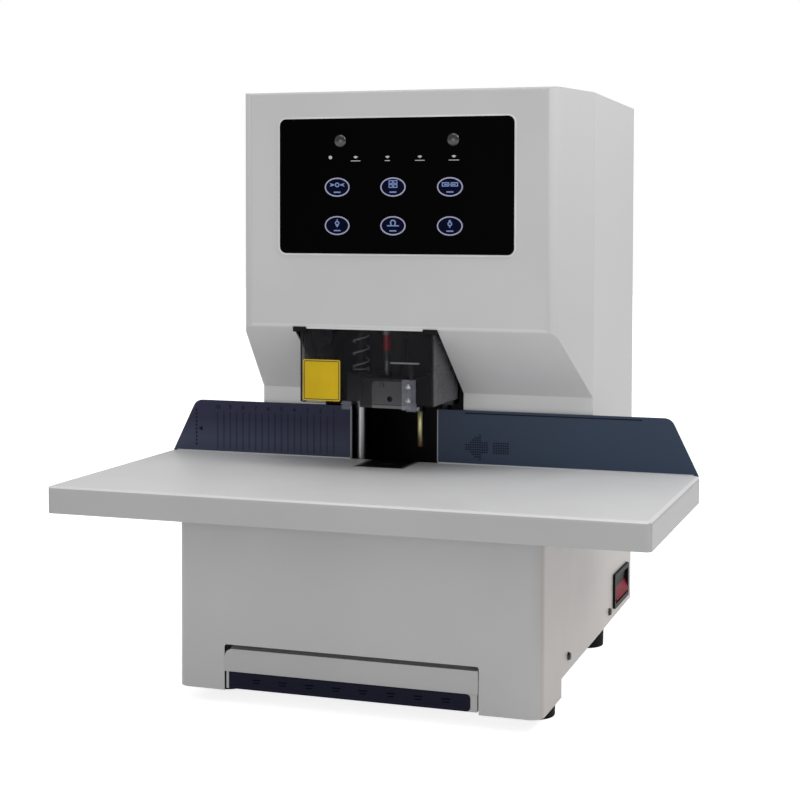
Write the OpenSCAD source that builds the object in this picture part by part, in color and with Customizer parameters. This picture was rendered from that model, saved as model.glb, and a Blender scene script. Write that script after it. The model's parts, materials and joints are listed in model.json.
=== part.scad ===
// Document riveting machine: a desk machine that drills a stack of paper and rivets it with a hot tube.
// X is to the right, Y to the back and Z up, in millimetres. The origin is on the desk, below the middle.

/* [Casing] */
// Width of the casing
body_w = 262; // [240:1:320]
// Depth of the casing, from the lower front to the back
body_d = 304.5; // [280:0.5:380]
// Height of the roof above the desk
roof_z = 430; // [400:1:520]
// Thickness of the casing's sheet steel
sheet = 1.5; // [1:0.1:2]
// Outside radius of the upright bends
bend_r = 9; // [4:0.5:12]
// Height of the front skirt above the desk
skirt_front_z = 10; // [6:0.5:14]
// Height of the side skirt behind its notch
skirt_side_z = 23; // [18:0.5:26]
// How much the side skirt climbs to the back
skirt_rise = 4; // [0:0.5:6]
// Depth of the low part of the side skirt
skirt_front_d = 58; // [40:1:70]
// How much the roof falls to the back
roof_fall = 3; // [0:0.5:6]

/* [Head] */
// Width of the head's front face
head_front_w = 236.4; // [200:0.2:240]
// How far the head's front stands behind the lower front
head_back = 86.7; // [70:0.1:95]
// How far the neck stands behind the lower front
neck_back = 154.3; // [140:0.1:170]
// Height of the head's lower front edge
chin_z = 258.3; // [245:0.1:280]
// Height at which the sloping underside meets the neck
neck_z = 206.4; // [200:0.1:220]
// Width of the mouth cut in the underside
mouth_w = 111.3; // [100:0.1:120]
// Middle of the mouth
mouth_x = -23.65; // [-30:0.05:-15]

/* [Worktable] */
// Width of the worktable
table_w = 420; // [360:1:500]
// How far the worktable stands out in front of the casing
table_out = 42.5; // [30:0.5:60]
// Height of the table top
table_z = 153; // [145:0.5:170]
// Thickness of the worktable's edge
table_t = 19; // [15:0.5:24]
// Height of the paper fence
fence_h = 40.8; // [30:0.2:48]
// Gap between the two halves of the fence
fence_gap = 68.9; // [62:0.1:80]
// Thickness of the fence
fence_t = 2; // [1.5:0.1:2.5]

/* [Drilling and riveting] */
// Left and right place of the drill's axis
axis_x = -22.4; // [-30:0.1:-15]
// Distance from the fence to the drill's axis
axis_to_fence = 16.3; // [12:0.1:20]
// Distance between the drill and the riveting tool on the turret
tool_pitch = 24; // [22:0.5:25]
// Stroke of the press carriage
press_stroke = 70; // [60:0.5:74]
// Height of the press foot's underside at rest
foot_z = 197; // [194:0.5:200]
// Diameter of the guide columns
column_d = 8; // [6:0.5:9]
// Diameter of the drill bit
bit_d = 4.4; // [3:0.1:6]
// Bore of the hollow drill bit
bit_bore = 3; // [1.5:0.1:3.4]
// Module of the feed rack and pinion
gear_module = 1.5; // [1.25:0.25:1.75]
// Teeth of the feed pinion
pinion_teeth = 18; // [18:1:20]
// Wire of the press foot's springs
spring_wire = 1.4; // [1.2:0.1:2]

/* [Drawer and switch] */
// Width of the drawer's opening
drawer_open_w = 183.5; // [150:0.5:190]
// Height of the drawer opening's top edge
drawer_open_z = 42.1; // [38:0.1:44]
// Length of the drawer
drawer_l = 180; // [150:1:220]
// Length of the rocker switch along the casing
switch_l = 56; // [40:0.5:58]
// Height of the rocker switch
switch_h = 27; // [24:0.5:30]

/* [Control panel] */
// Width of the control panel
panel_w = 178; // [150:0.5:190]
// Height of the control panel
panel_h = 98.3; // [80:0.1:110]
// Width of a touch key
key_w = 19.2; // [12:0.1:22]
// Height of a touch key
key_h = 13.8; // [10:0.1:20]

/* [Hidden] */
$fn = 48;
play = 0.3;
fit = 0.05;

// The inlet's flange stands this far behind the back, and belongs to the overall depth
inlet_proud = 2.5;
y_body = (table_out - body_d - inlet_proud) / 2;
y_table = y_body - table_out;
y_back = y_body + body_d;
y_head = y_body + head_back;
y_neck = y_body + neck_back;
y_seam = y_neck + sheet;
y_fence = y_neck - 3;
half_w = body_w / 2;
in_w = half_w - sheet;
seam_z = table_z - table_t;
mouth_x0 = mouth_x - mouth_w / 2;
mouth_x1 = mouth_x + mouth_w / 2;

// Chassis
base_z = 28;
base_t = 1.5;
tunnel_x = -3.2;
tunnel_w = drawer_open_w + 4.5;
tunnel_z = 46.5;
foot_r = 15.8;
foot_at = [[half_w - 17.7, y_body + 48], [half_w - 26, y_body + 247]];
frame_t = 4;
frame_x = [mouth_x0 - 0.7 - frame_t, mouth_x1 + 0.2];
frame_y0 = y_body + 176;
frame_y1 = y_body + 260;
bridge_z = 400;
bridge_t = 8;

// Tools: the drill and the riveting tool stand on a turret and trade places behind the fence
axis_y = y_fence - axis_to_fence;
turret_y = axis_y + tool_pitch / 2;
park_y = axis_y + tool_pitch;
column_y = axis_y + 30;
column_x = [axis_x - 31.6, axis_x + 37.4];
column_r = column_d / 2;
block_z = 92;
block_t = 24;
foot_t = 22;
foot_top_z = foot_z + foot_t;
tip_z = foot_top_z + 1;
foot_travel = foot_z - table_z - 0.4;
foot_lift = press_stroke - foot_travel;
carriage_z = 305;
carriage_t = 18;
carriage_y0 = axis_y - 2;
carriage_y1 = axis_y + 42;
slot_w = 19;
pad_top_z = tip_z - press_stroke - play - 0.1;
insert_t = 3.1;
insert_w = 39.5;
insert_y0 = axis_y - 21.3;
pad_r = 8;
die_pitch = 24;

// Feed gear: a straight-sided rack and an involute pinion
pitch_r = gear_module * pinion_teeth / 2;
rack_root = 1.25 * gear_module;
rack_bar = 6;
rack_y = carriage_y1 + rack_bar + rack_root;
pinion_y = rack_y + pitch_r;
pinion_z = carriage_z + 8;
gear_w = 12;
backlash = 0.3;
shaft_r = 5;

// Switch: middle of the rocker on the right side, and its pivot's depth
switch_y = y_body + 259.5;
switch_z = 46.4;
rocker_x = half_w - 4;
rocker_tilt = -9;
panel_z = 361.2;
panel_t = 1.2;

function sum2(a, b) = [a[0] + b[0], a[1] + b[1]];
function unit2(a) = a / norm(a);

// One rounded corner: b is the corner, a and c are its neighbours
function corner(a, b, c, r, n = 6) =
  r == 0 ? [b] :
  let (u = unit2(a - b), v = unit2(c - b), h = acos(u * v) / 2, m = b + unit2(u + v) * r / sin(h),
       s = b + u * r / tan(h) - m, e = b + v * r / tan(h) - m, a0 = atan2(s[1], s[0]),
       d = atan2(e[1], e[0]) - a0, turn = d > 180 ? d - 360 : d < -180 ? d + 360 : d)
  [for (i = [0:n]) m + r * [cos(a0 + turn * i / n), sin(a0 + turn * i / n)]];

// A closed outline whose corners have the radii in r
function rounded(p, r, n = 6) =
  [for (i = [0:len(p) - 1])
    each corner(p[(i + len(p) - 1) % len(p)], p[i], p[(i + 1) % len(p)], r[i], n)];

function oval(w, h, n = 32) = [for (i = [0:n - 1]) [w / 2 * cos(360 * i / n), h / 2 * sin(360 * i / n)]];

function involute_angle(a) = tan(a) * 180 / PI - a;

// Half of a pinion tooth's angle at radius r
function tooth_half(r, base_r) = 90 / pinion_teeth + involute_angle(20) - involute_angle(acos(base_r / r));

module box(x0, x1, y0, y1, z0, z1) {
  translate([x0, y0, z0]) cube([x1 - x0, y1 - y0, z1 - z0]);
}

// Outline in Y and Z, drawn along X
module along_x(x0, x1) {
  translate([x0, 0, 0]) rotate([90, 0, 90]) linear_extrude(x1 - x0) children();
}

// Outline in X and Z, drawn along Y
module along_y(y0, y1) {
  translate([0, y1, 0]) rotate([90, 0, 0]) linear_extrude(y1 - y0) children();
}

module along_z(z0, z1) {
  translate([0, 0, z0]) linear_extrude(z1 - z0) children();
}

module post(x, y, z0, z1, r) {
  translate([x, y, z0]) cylinder(h = z1 - z0, r = r);
}

// Rod along X
module rod_x(x0, x1, y, z, r) {
  translate([x0, y, z]) rotate([0, 90, 0]) cylinder(h = x1 - x0, r = r);
}

// Rod along Y
module rod_y(x, y0, y1, z, r) {
  translate([x, y1, z]) rotate([90, 0, 0]) cylinder(h = y1 - y0, r = r);
}

module round_rect(x0, x1, y0, y1, r) {
  polygon(rounded([[x0, y0], [x1, y0], [x1, y1], [x0, y1]], [r, r, r, r]));
}

// Pan-head screw along Z, its head above z
module screw_z(x, y, z, r, length) {
  post(x, y, z - length, z, r);
  translate([x, y, z]) difference() {
    cylinder(h = 2 * r * 0.6, r1 = 2 * r, r2 = 1.6 * r);
    translate([-r * 1.2, -0.4, r * 0.6]) cube([r * 2.4, 0.8, r]);
    translate([-0.4, -r * 1.2, r * 0.6]) cube([0.8, r * 2.4, r]);
  }
}

// ---- Chassis and feet ----

// Folded base: a tunnel for the drawer between two flanges that stand on the feet
module base_plate() {
  x0 = tunnel_x - tunnel_w / 2;
  x1 = tunnel_x + tunnel_w / 2;
  edge = in_w - 0.1;
  color("#9a9a9c") difference() {
    union() {
      along_y(y_body + bend_r + 1, y_back - sheet - 0.3)
        polygon([[-edge, base_z], [x0, base_z], [x0, tunnel_z - base_t], [x1, tunnel_z - base_t], [x1, base_z],
                 [edge, base_z], [edge, base_z + base_t], [x1 + base_t, base_z + base_t],
                 [x1 + base_t, tunnel_z], [x0 - base_t, tunnel_z], [x0 - base_t, base_z + base_t],
                 [-edge, base_z + base_t]]);
      for (side = [-1, 1], y = [77.6, 217.8])
        mirror([side < 0 ? 1 : 0, 0, 0])
          box(edge - base_t, edge, y_body + y - 9, y_body + y + 8, base_z, base_z + 13);
    }
    chute_hole(tunnel_z - 5, tunnel_z + 5);
    for (side = [-1, 1], p = foot_at) post(side * p[0], p[1], base_z - 5, base_z + 5, 2.6);
    for (side = [-1, 1], y = [77.6, 217.8])
      rod_x(side > 0 ? edge - 5 : -edge - 5, side > 0 ? edge + 5 : -edge + 5, y_body + y, side_screw_z, 1.6);
  }
}

side_screw_z = 34;

module chute_hole(z0, z1) {
  box(axis_x - 15, axis_x + 15, park_y - 9, park_y + 9, z0, z1);
}

// Moulded feet: a slight taper, a ring groove in the sole and a recess for the screw
module rubber_feet() {
  color("#1d1c1c") for (side = [-1, 1], p = foot_at) translate([side * p[0], p[1], 0]) rotate_extrude()
    polygon([[2.6, 8], [6, 8], [6, 0.8], [6.8, 0], [9.2, 0], [9.8, 1], [11.2, 1], [11.8, 0],
             [foot_r - 1, 0], [foot_r - 0.6, 0.4], [foot_r, base_z - 0.8], [foot_r - 0.8, base_z], [2.6, base_z]]);
}

module foot_screws() {
  color("#c9c9c9") for (side = [-1, 1], p = foot_at) translate([side * p[0], p[1], 0]) {
    post(0, 0, 8, base_z + base_t + 4, 2.5);
    difference() {
      post(0, 0, 4.5, 8, 4.5);
      box(-3, 3, -0.6, 0.6, 4, 5.5);
    }
    translate([0, 0, base_z + base_t]) cylinder(h = 3.2, r = 4.6, $fn = 6);
  }
}

// ---- Covers ----

module lower_plan() {
  polygon(rounded([[-half_w, y_body], [half_w, y_body], [half_w, y_back - sheet], [-half_w, y_back - sheet]],
                  [bend_r, bend_r, 0, 0], 10));
}

module lower_cover() {
  drawer_x0 = tunnel_x - drawer_open_w / 2;
  drawer_x1 = tunnel_x + drawer_open_w / 2;
  color("#a6a6a8") difference() {
    along_z(skirt_front_z, seam_z) lower_plan();
    along_z(skirt_front_z - 5, seam_z + 5) difference() {
      offset(delta = -sheet) lower_plan();
      translate([-half_w, y_back - 2 * sheet]) square([body_w, sheet]);
    }
    box(-in_w, in_w, y_back - 4 * sheet, y_back, 0, seam_z + 5);
    along_x(-half_w - 5, half_w + 5)
      polygon([[y_body + skirt_front_d, -5], [y_body + skirt_front_d, skirt_side_z],
               [y_back, skirt_side_z + skirt_rise], [y_back + 5, skirt_side_z + skirt_rise], [y_back + 5, -5]]);
    along_y(y_body - 5, y_body + 5)
      polygon(rounded([[drawer_x0, 0], [drawer_x1, 0], [drawer_x1, drawer_open_z], [drawer_x0, drawer_open_z]],
                      [0, 0, 1.5, 1.5]));
    box(in_w - 1, half_w + 1, switch_y - switch_l / 2 + 2, switch_y + switch_l / 2 - 2,
        switch_z - switch_h / 2 + 2, switch_z + switch_h / 2 - 2);
    for (side = [-1, 1], y = [77.6, 217.8])
      rod_x(side > 0 ? in_w - 1 : -half_w - 1, side > 0 ? half_w + 1 : -in_w + 1, y_body + y, side_screw_z, 1.8);
  }
}

// The head narrows from the neck to its front face
module head_plan(extra) {
  f = head_front_w / 2;
  polygon(rounded([[-f, y_head], [f, y_head], [half_w, y_neck], [half_w, y_seam + extra],
                   [-half_w, y_seam + extra], [-half_w, y_neck]], [bend_r, bend_r, 0, 0, 0, 0], 10));
}

module head_side(extra) {
  polygon(rounded([[y_head, chin_z], [y_neck, neck_z], [y_seam + extra, neck_z], [y_seam + extra, roof_z],
                   [y_head, roof_z]], [4, 0, 0, 0, 3], 5));
}

// Front and underside of the head in one folded piece, down to the neck behind the fence
module head_cover() {
  color("#b7b7b9") {
    difference() {
      intersection() {
        along_z(neck_z - 20, roof_z + 5) head_plan(0);
        along_x(-half_w - 5, half_w + 5) head_side(0);
      }
      intersection() {
        along_z(neck_z - 20, roof_z + 5) offset(delta = -sheet) head_plan(9);
        along_x(-half_w - 5, half_w + 5) offset(delta = -sheet) head_side(9);
      }
      box(mouth_x0, mouth_x1, y_head - 5, y_seam + 5, neck_z - 30, chin_z);
    }
    difference() {
      box(-half_w, half_w, y_neck, y_seam, seam_z, neck_z);
      box(mouth_x0, mouth_x1, y_neck - 5, y_seam + 5, seam_z - 5, neck_z + 5);
    }
    box(mouth_x0 + 10, mouth_x1 - 11, y_head + 0.2, y_head + sheet, chin_z - 1.3, chin_z + 0.1);
  }
}

// Sides and roof behind the neck
module upper_cover() {
  front = y_seam + play;
  back = y_back - sheet;
  color("#bcbcbe") difference() {
    along_x(-half_w, half_w) polygon([[front, seam_z], [back, seam_z], [back, roof_z - roof_fall], [front, roof_z]]);
    along_x(-in_w, in_w)
      polygon([[front - 5, seam_z - 5], [back + 5, seam_z - 5], [back + 5, roof_z - roof_fall - sheet],
               [front - 5, roof_z - sheet]]);
  }
}

// Back plate with two banks of vents and the opening for the inlet
module rear_cover() {
  low = skirt_side_z + skirt_rise;
  color("#b2b2b4") difference() {
    along_y(y_back - sheet, y_back)
      polygon([[-half_w, low], [half_w, low], [half_w, roof_z - roof_fall], [-half_w, roof_z - roof_fall]]);
    for (bank = [-60, 60], row = [0:7])
      along_y(y_back - 5, y_back + 5) translate([bank, 300 + row * 11]) round_rect(-32, 32, -2, 2, 1.9);
    for (row = [0:4])
      along_y(y_back - 5, y_back + 5) translate([-60, 70 + row * 11]) round_rect(-32, 32, -2, 2, 1.9);
    box(inlet_x - 14.2, inlet_x + 14.2, y_back - 5, y_back + 5, inlet_z - 10.2, inlet_z + 10.2);
    for (side = [-1, 1]) rod_y(inlet_x + side * 20, y_back - 5, y_back + 5, inlet_z, 1.5);
    for (side = [-1, 1], z = [60, 230, 410]) rod_y(side * (half_w - 8), y_back - 5, y_back + 5, z, 1.8);
  }
}

inlet_x = 84;
inlet_z = 86;

// Side screws that hold the lower cover to the base, and the screws of the back plate
module cover_screws() {
  color("#8c8c8c") {
    for (side = [-1, 1], y = [77.6, 217.8]) mirror([side < 0 ? 1 : 0, 0, 0])
      translate([half_w, y_body + y, side_screw_z]) rotate([0, 90, 0]) screw_z(0, 0, 0, 1.5, 6);
    for (side = [-1, 1], z = [60, 230, 410])
      translate([side * (half_w - 8), y_back, z]) rotate([-90, 0, 0]) screw_z(0, 0, 0, 1.5, 8);
  }
}

// ---- Worktable ----

module table_plan(inset) {
  polygon(rounded([[-table_w / 2 + inset, y_table + inset], [table_w / 2 - inset, y_table + inset],
                   [table_w / 2 - inset, y_fence - inset], [-table_w / 2 + inset, y_fence - inset]],
                  [4 - inset, 4 - inset, 1.6 - inset, 1.6 - inset], 5));
}

// Folded tray with a rounded top edge, open below, with a cut-out for the pad insert
module worktable() {
  edge_r = 3;
  color("#c3c3c5") difference() {
    union() {
      along_z(seam_z, table_z - edge_r) table_plan(0);
      intersection() {
        along_z(table_z - edge_r, table_z) table_plan(0);
        along_x(-table_w / 2 - 5, table_w / 2 + 5)
          polygon(rounded([[y_table, seam_z], [y_fence, seam_z], [y_fence, table_z], [y_table, table_z]],
                          [0, 0, 0, edge_r]));
        along_y(y_table - 5, y_fence + 5)
          polygon(rounded([[-table_w / 2, seam_z], [table_w / 2, seam_z], [table_w / 2, table_z],
                           [-table_w / 2, table_z]], [0, 0, edge_r, edge_r]));
      }
    }
    along_z(seam_z - 5, table_z - sheet) table_plan(sheet);
    box(axis_x - insert_w / 2 - 0.2, axis_x + insert_w / 2 + 0.2, insert_y0 - 0.2, y_fence + 5,
        table_z - sheet - 2, table_z + 5);
    for (x = fence_screw_x) rod_y(x, y_fence - 5, y_fence + 5, seam_z + 9, 1.6);
  }
}

fence_x0 = axis_x - fence_gap / 2;
fence_x1 = axis_x + fence_gap / 2;
fence_screw_x = [-190, -75, 30, 190];

// Rails between the casing and the tray
module table_rails() {
  color("#6e6e70") for (side = [-1, 1]) mirror([side < 0 ? 1 : 0, 0, 0]) difference() {
    box(half_w - 14, half_w, y_body + 4, y_fence - 3, seam_z, table_z - sheet);
    box(half_w - 12, half_w - 2, y_body, y_fence, seam_z + 2, table_z - sheet - 2);
  }
}

// Black plate, flush with the table top, around the drilling place
module pad_insert() {
  x0 = axis_x - insert_w / 2;
  x1 = axis_x + insert_w / 2;
  color("#1b1b1e") difference() {
    union() {
      box(x0, x1, insert_y0, y_fence, table_z - sheet, table_z);
      box(x0 - 5, x1 + 5, insert_y0 - 5, y_fence - 2, table_z - insert_t, table_z - sheet);
    }
    post(axis_x, axis_y, table_z - 10, table_z + 5, 6);
    box(x0 + 2.6, x1 - 2.6, insert_y0 + 2.6, y_fence + 5, table_z - 0.5, table_z + 5);
  }
}

// Upright fence halves, their outer ends sloped and their top corner rounded
module fence_shape(inner, outer) {
  s = outer > inner ? 1 : -1;
  low = table_z - 14;
  polygon(rounded([[inner, low], [outer - s * 2, low], [outer, table_z], [outer - s * 20, table_z + fence_h],
                   [inner, table_z + fence_h]], [0, 2, 0, 8, 0.8], 6));
}

module fence(inner, outer, color_name) {
  color(color_name) difference() {
    along_y(y_fence, y_fence + fence_t) fence_shape(inner, outer);
    for (x = fence_screw_x) rod_y(x, y_fence - 5, y_fence + 5, seam_z + 9, 1.8);
  }
}

module fence_left() {
  fence(fence_x0, -table_w / 2 + 2, "#2a2f47");
}

module fence_right() {
  fence(fence_x1, table_w / 2 - 1, "#2a2f47");
}

module fence_screws() {
  color("#8c8c8c") for (x = [-190, 190])
    translate([x, y_fence + fence_t, seam_z + 9]) rotate([-90, 0, 0]) screw_z(0, 0, 0, 1.5, 7);
}

// ---- Guard in the mouth ----

guard_x0 = axis_x - 51.7;
guard_x1 = axis_x + 51.3;
guard_z = 202.5;
guard_top = chin_z + 8;
guard_y = y_head + sheet + 0.98;
guard_t = 2;

// Smoky box, open below, above and behind
module guard() {
  color([0.2, 0.2, 0.22, 0.55]) along_z(guard_z, guard_top) difference() {
    polygon(rounded([[guard_x0, guard_y], [guard_x1, guard_y], [guard_x1, y_neck - 5], [guard_x0, y_neck - 5]],
                    [3, 3, 0, 0], 5));
    polygon(rounded([[guard_x0 + guard_t, guard_y + guard_t], [guard_x1 - guard_t, guard_y + guard_t],
                     [guard_x1 - guard_t, y_neck], [guard_x0 + guard_t, y_neck]], [1, 1, 0, 0], 5));
  }
}

// Clear buffers pushed onto the guard's lower edge
module guard_bumpers() {
  color([0.75, 0.75, 0.8, 0.7]) for (x = [-38, 12]) difference() {
    along_z(guard_z - 4, guard_z + 2) round_rect(x - 3.8, x + 3.8, guard_y - 0.8, guard_y + guard_t + 0.8, 0.7);
    box(x - 5, x + 5, guard_y, guard_y + guard_t, guard_z, guard_z + 5);
  }
}

// Bare plate on the guard
module guard_plate() {
  color("#e2c22a") along_y(guard_y - 0.4, guard_y) round_rect(guard_x0 + 2, guard_x0 + 31.5, 204, 234.4, 1.5);
}

// ---- Control panel ----

module control_panel() {
  color("#08080a") along_y(y_head - panel_t, y_head)
    round_rect(-panel_w / 2, panel_w / 2, panel_z - panel_h / 2, panel_z + panel_h / 2, 5);
}

key_x = [-43.8, -1, 41.7];
key_z = [panel_z - 28.6, panel_z - 0.8];

module touch_keys() {
  front = y_head - panel_t;
  color("#b9c4e4") for (x = key_x, z = key_z) along_y(front - 0.3, front) translate([x, z]) difference() {
    polygon(oval(key_w, key_h));
    polygon(oval(key_w - 1.8, key_h - 1.8));
  }
}

module indicator_lamps() {
  front = y_head - panel_t;
  color("#dfe6f2") for (x = [-49, -29.5, -5.2, 19.3, 44.6]) rod_y(x, front - 0.4, front, panel_z + 20.8, x < -40 ? 1.3 : 0.9);
}

module indicator_domes() {
  color("#5b5b5f") for (x = [-41.7, 43.8]) translate([x, y_head - panel_t, panel_z + 32.7]) rotate([90, 0, 0])
    rotate_extrude() polygon(concat([[0, 0], [4.6, 0]], [for (a = [20:14:90]) [4.6 * cos(a), 2.4 * sin(a) - 0.5]]));
}

// Circuit board of the touch keys on four spacers
module panel_board() {
  back = y_head + sheet;
  color("#1f5a36") {
    box(-80, 80, back + 6, back + 7.6, panel_z - 43, panel_z + 43);
    for (x = [-74, 74], z = [panel_z - 37, panel_z + 37]) rod_y(x, back, back + 6, z, 3);
    for (x = key_x, z = key_z) rod_y(x, back + 1, back + 6, z, 5);
    box(-20, 10, back + 7.6, back + 11, panel_z + 14, panel_z + 34);
  }
}

// ---- Switch and inlet ----

module switch_housing() {
  l = switch_l / 2;
  h = switch_h / 2;
  color("#17171a") difference() {
    union() {
      along_x(half_w, half_w + 2) translate([switch_y, switch_z]) polygon(rounded([[-l, -h], [l, -h], [l, h], [-l, h]], [2, 2, 2, 2]));
      box(half_w - 20, half_w, switch_y - l + 2.3, switch_y + l - 2.3, switch_z - h + 2.3, switch_z + h - 2.3);
    }
    box(rocker_x - 7, half_w + 5, switch_y - l + 4, switch_y + l - 4, switch_z - h + 3.6, switch_z + h - 3.6);
    rod_x2(switch_y - l + 2.2, switch_y + l - 2.2, 1.5 + fit);
  }
}

// The rocker's pivot, along Y
module rod_x2(y0, y1, r) {
  rod_y(rocker_x, y0, y1, switch_z, r);
}

module rocker() {
  l = switch_l / 2 - 4 - play;
  h = switch_h / 2 - 5;
  color("#b5121f") translate([rocker_x, switch_y, switch_z]) rotate([0, rocker_tilt, 0]) {
    difference() {
      along_y(-l, l) polygon([[-2, -h], [5.4, -h], [3.4, 0], [5.4, h], [-2, h]]);
      box(-5, -1, -l + 3, l - 3, -h + 2, h - 2);
    }
    rod_y(0, -switch_l / 2 + 2.3, switch_l / 2 - 2.3, 0, 1.5);
  }
}

// Three-pin mains inlet with a recessed mouth
module power_inlet() {
  color("#141416") {
    difference() {
      union() {
        along_y(y_back, y_back + inlet_proud) round_rect(inlet_x - 25, inlet_x + 25, inlet_z - 11.5, inlet_z + 11.5, 4);
        box(inlet_x - 14, inlet_x + 14, y_back - 26, y_back, inlet_z - 10, inlet_z + 10);
      }
      along_y(y_back - 15, y_back + 5)
        polygon([[inlet_x - 12, inlet_z - 8], [inlet_x + 12, inlet_z - 8], [inlet_x + 12, inlet_z + 4],
                 [inlet_x + 8, inlet_z + 8], [inlet_x - 8, inlet_z + 8], [inlet_x - 12, inlet_z + 4]]);
      for (side = [-1, 1]) rod_y(inlet_x + side * 20, y_back - 5, y_back + 5, inlet_z, 1.5);
    }
    for (p = [[-7, -1], [0, 3], [7, -1]])
      box(inlet_x + p[0] - 1, inlet_x + p[0] + 1, y_back - 15.5, y_back - 2, inlet_z + p[1] - 2, inlet_z + p[1] + 2);
  }
}

// ---- Frame of the drilling unit ----

module side_frame(x) {
  color("#3a3b3e") difference() {
    along_x(x, x + frame_t) polygon(rounded([[frame_y0, tunnel_z], [frame_y1, tunnel_z], [frame_y1, bridge_z],
                                             [frame_y0, bridge_z]], [0, 0, 8, 0]));
    rod_x(x - 5, x + frame_t + 5, pinion_y, pinion_z, 8 + 0.02);
    along_x(x - 5, x + frame_t + 5) translate([frame_y0 + 42, 190]) polygon(rounded([[-22, -50], [22, -50], [22, 50], [-22, 50]], [8, 8, 8, 8]));
  }
}

module side_frame_left() {
  side_frame(frame_x[0]);
}

module side_frame_right() {
  side_frame(frame_x[1]);
}

module top_bridge() {
  color("#55565a") difference() {
    box(frame_x[0], frame_x[1] + frame_t, column_y - 14, frame_y1, bridge_z, bridge_z + bridge_t);
    for (x = column_x) post(x, column_y, bridge_z - 5, bridge_z + bridge_t + 5, column_r + 0.02);
    box(axis_x - 12, axis_x + 12, column_y + 20, frame_y1 - 20, bridge_z - 5, bridge_z + bridge_t + 5);
  }
}

// Cross block below the table: it holds the columns and the die shuttle
module column_block() {
  color("#4a4b4e") difference() {
    union() {
      box(frame_x[0] + frame_t, frame_x[1], axis_y - 16, frame_y0 + 16, block_z, block_z + block_t);
      box(frame_x[0] - 28, frame_x[0] + frame_t + 1, axis_y - 12, axis_y + 12, block_z, block_z + block_t);
    }
    for (x = column_x) post(x, column_y, block_z - 5, block_z + block_t + 5, column_r + 0.02);
    chute_hole(block_z - 5, block_z + block_t + 5);
  }
}

module guide_columns() {
  color("#d6d8dc") for (x = column_x) post(x, column_y, block_z, bridge_z + bridge_t, column_r);
}

module shaft_bearings() {
  color("#b98b4a") for (x = frame_x) difference() {
    union() {
      rod_x(x, x + frame_t, pinion_y, pinion_z, 8);
      rod_x(x == frame_x[0] ? x + frame_t : x - 2, x == frame_x[0] ? x + frame_t + 2 : x, pinion_y, pinion_z, 10);
    }
    rod_x(x - 5, x + frame_t + 5, pinion_y, pinion_z, shaft_r + fit);
  }
}

// Gearbox and motor that turn the pinion
module feed_motor() {
  x0 = frame_x[1] + frame_t;
  color("#77797d") difference() {
    union() {
      along_x(x0, x0 + 18) translate([pinion_y, pinion_z]) polygon(rounded([[-22, -22], [22, -22], [22, 22], [-22, 22]], [4, 4, 4, 4]));
      rod_x(x0 + 18, x0 + 66, pinion_y, pinion_z, 18);
      rod_x(x0 + 66, x0 + 70, pinion_y, pinion_z, 6);
    }
    rod_x(x0 - 5, x0 + 14, pinion_y, pinion_z, shaft_r + fit);
  }
}

// ---- Die shuttle under the table ----

shuttle_y0 = axis_y - 13;
shuttle_y1 = axis_y + 13;
shuttle_z0 = block_z + block_t + play;
shuttle_z1 = pad_top_z - 3;
solenoid_z = shuttle_z0 + 14;

module shuttle_rails() {
  color("#8f9092") {
    box(axis_x - 50, axis_x + 45, shuttle_y0 - 3, shuttle_y0 - 0.2, block_z + block_t, block_z + block_t + 9);
    box(axis_x - 50, axis_x + 45, shuttle_y1 + 0.2, shuttle_y1 + 3, block_z + block_t, block_z + block_t + 9);
  }
}

module die_shuttle() {
  color("#7c7f84") difference() {
    union() {
      box(axis_x - 13, axis_x + die_pitch + 13, shuttle_y0, shuttle_y1, shuttle_z0, shuttle_z1);
      rod_x(axis_x - 80, axis_x - 12, axis_y, solenoid_z, 2.5);
    }
    post(axis_x, axis_y, pad_top_z - 8, pad_top_z, pad_r + fit);
    post(axis_x + die_pitch, axis_y, shuttle_z0 + 8, pad_top_z, 6 + fit);
  }
}

module cutting_pad() {
  color("#e9e9e4") post(axis_x, axis_y, pad_top_z - 8, pad_top_z, pad_r);
}

module lower_die() {
  color("#b8863b") translate([axis_x + die_pitch, axis_y, 0]) difference() {
    union() {
      post(0, 0, shuttle_z0 + 8, shuttle_z1, 6);
      post(0, 0, shuttle_z1, pad_top_z, 4);
    }
    post(0, 0, pad_top_z - 0.8, pad_top_z + 1, 2.6);
  }
}

module shuttle_solenoid() {
  x0 = axis_x - 88;
  color("#3c4a63") difference() {
    union() {
      box(x0 + 2, x0 + 28, axis_y - 11, axis_y + 11, block_z + block_t, solenoid_z + 11);
    }
    rod_x(x0 - 30, x0 + 35, axis_y, solenoid_z, 2.5 + fit);
  }
}

// Sheet funnel that lets the chips fall through the base into the drawer
module chip_chute() {
  color("#8a8b8d") difference() {
    box(axis_x - 17, axis_x + 17, park_y - 11, park_y + 11, tunnel_z, block_z);
    chute_hole(tunnel_z - 5, block_z + 5);
  }
}

// ---- Electrics ----

module transformer() {
  x = -50;
  y = y_back - 70;
  color("#6b6257") {
    box(x - 24, x + 24, y - 20, y + 20, tunnel_z + 2, tunnel_z + 46);
    box(x - 29, x + 29, y - 20, y + 20, tunnel_z, tunnel_z + 2);
    box(x - 16, x + 16, y - 29, y + 29, tunnel_z + 10, tunnel_z + 38);
  }
}

module power_board() {
  x = 64;
  y = y_back - 75;
  z = tunnel_z + 7;
  color("#2a6a3f") {
    box(x - 25, x + 25, y - 45, y + 45, z, z + 1.6);
    for (dx = [-21, 21], dy = [-40, 40]) post(x + dx, y + dy, tunnel_z, z, 3);
    for (dy = [-26, -8]) post(x - 12, y + dy, z + 1.6, z + 24, 7);
    box(x + 2, x + 20, y - 34, y - 8, z + 1.6, z + 22);
    box(x - 20, x + 20, y + 18, y + 24, z + 1.6, z + 30);
  }
}

// ---- Drawer ----

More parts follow.
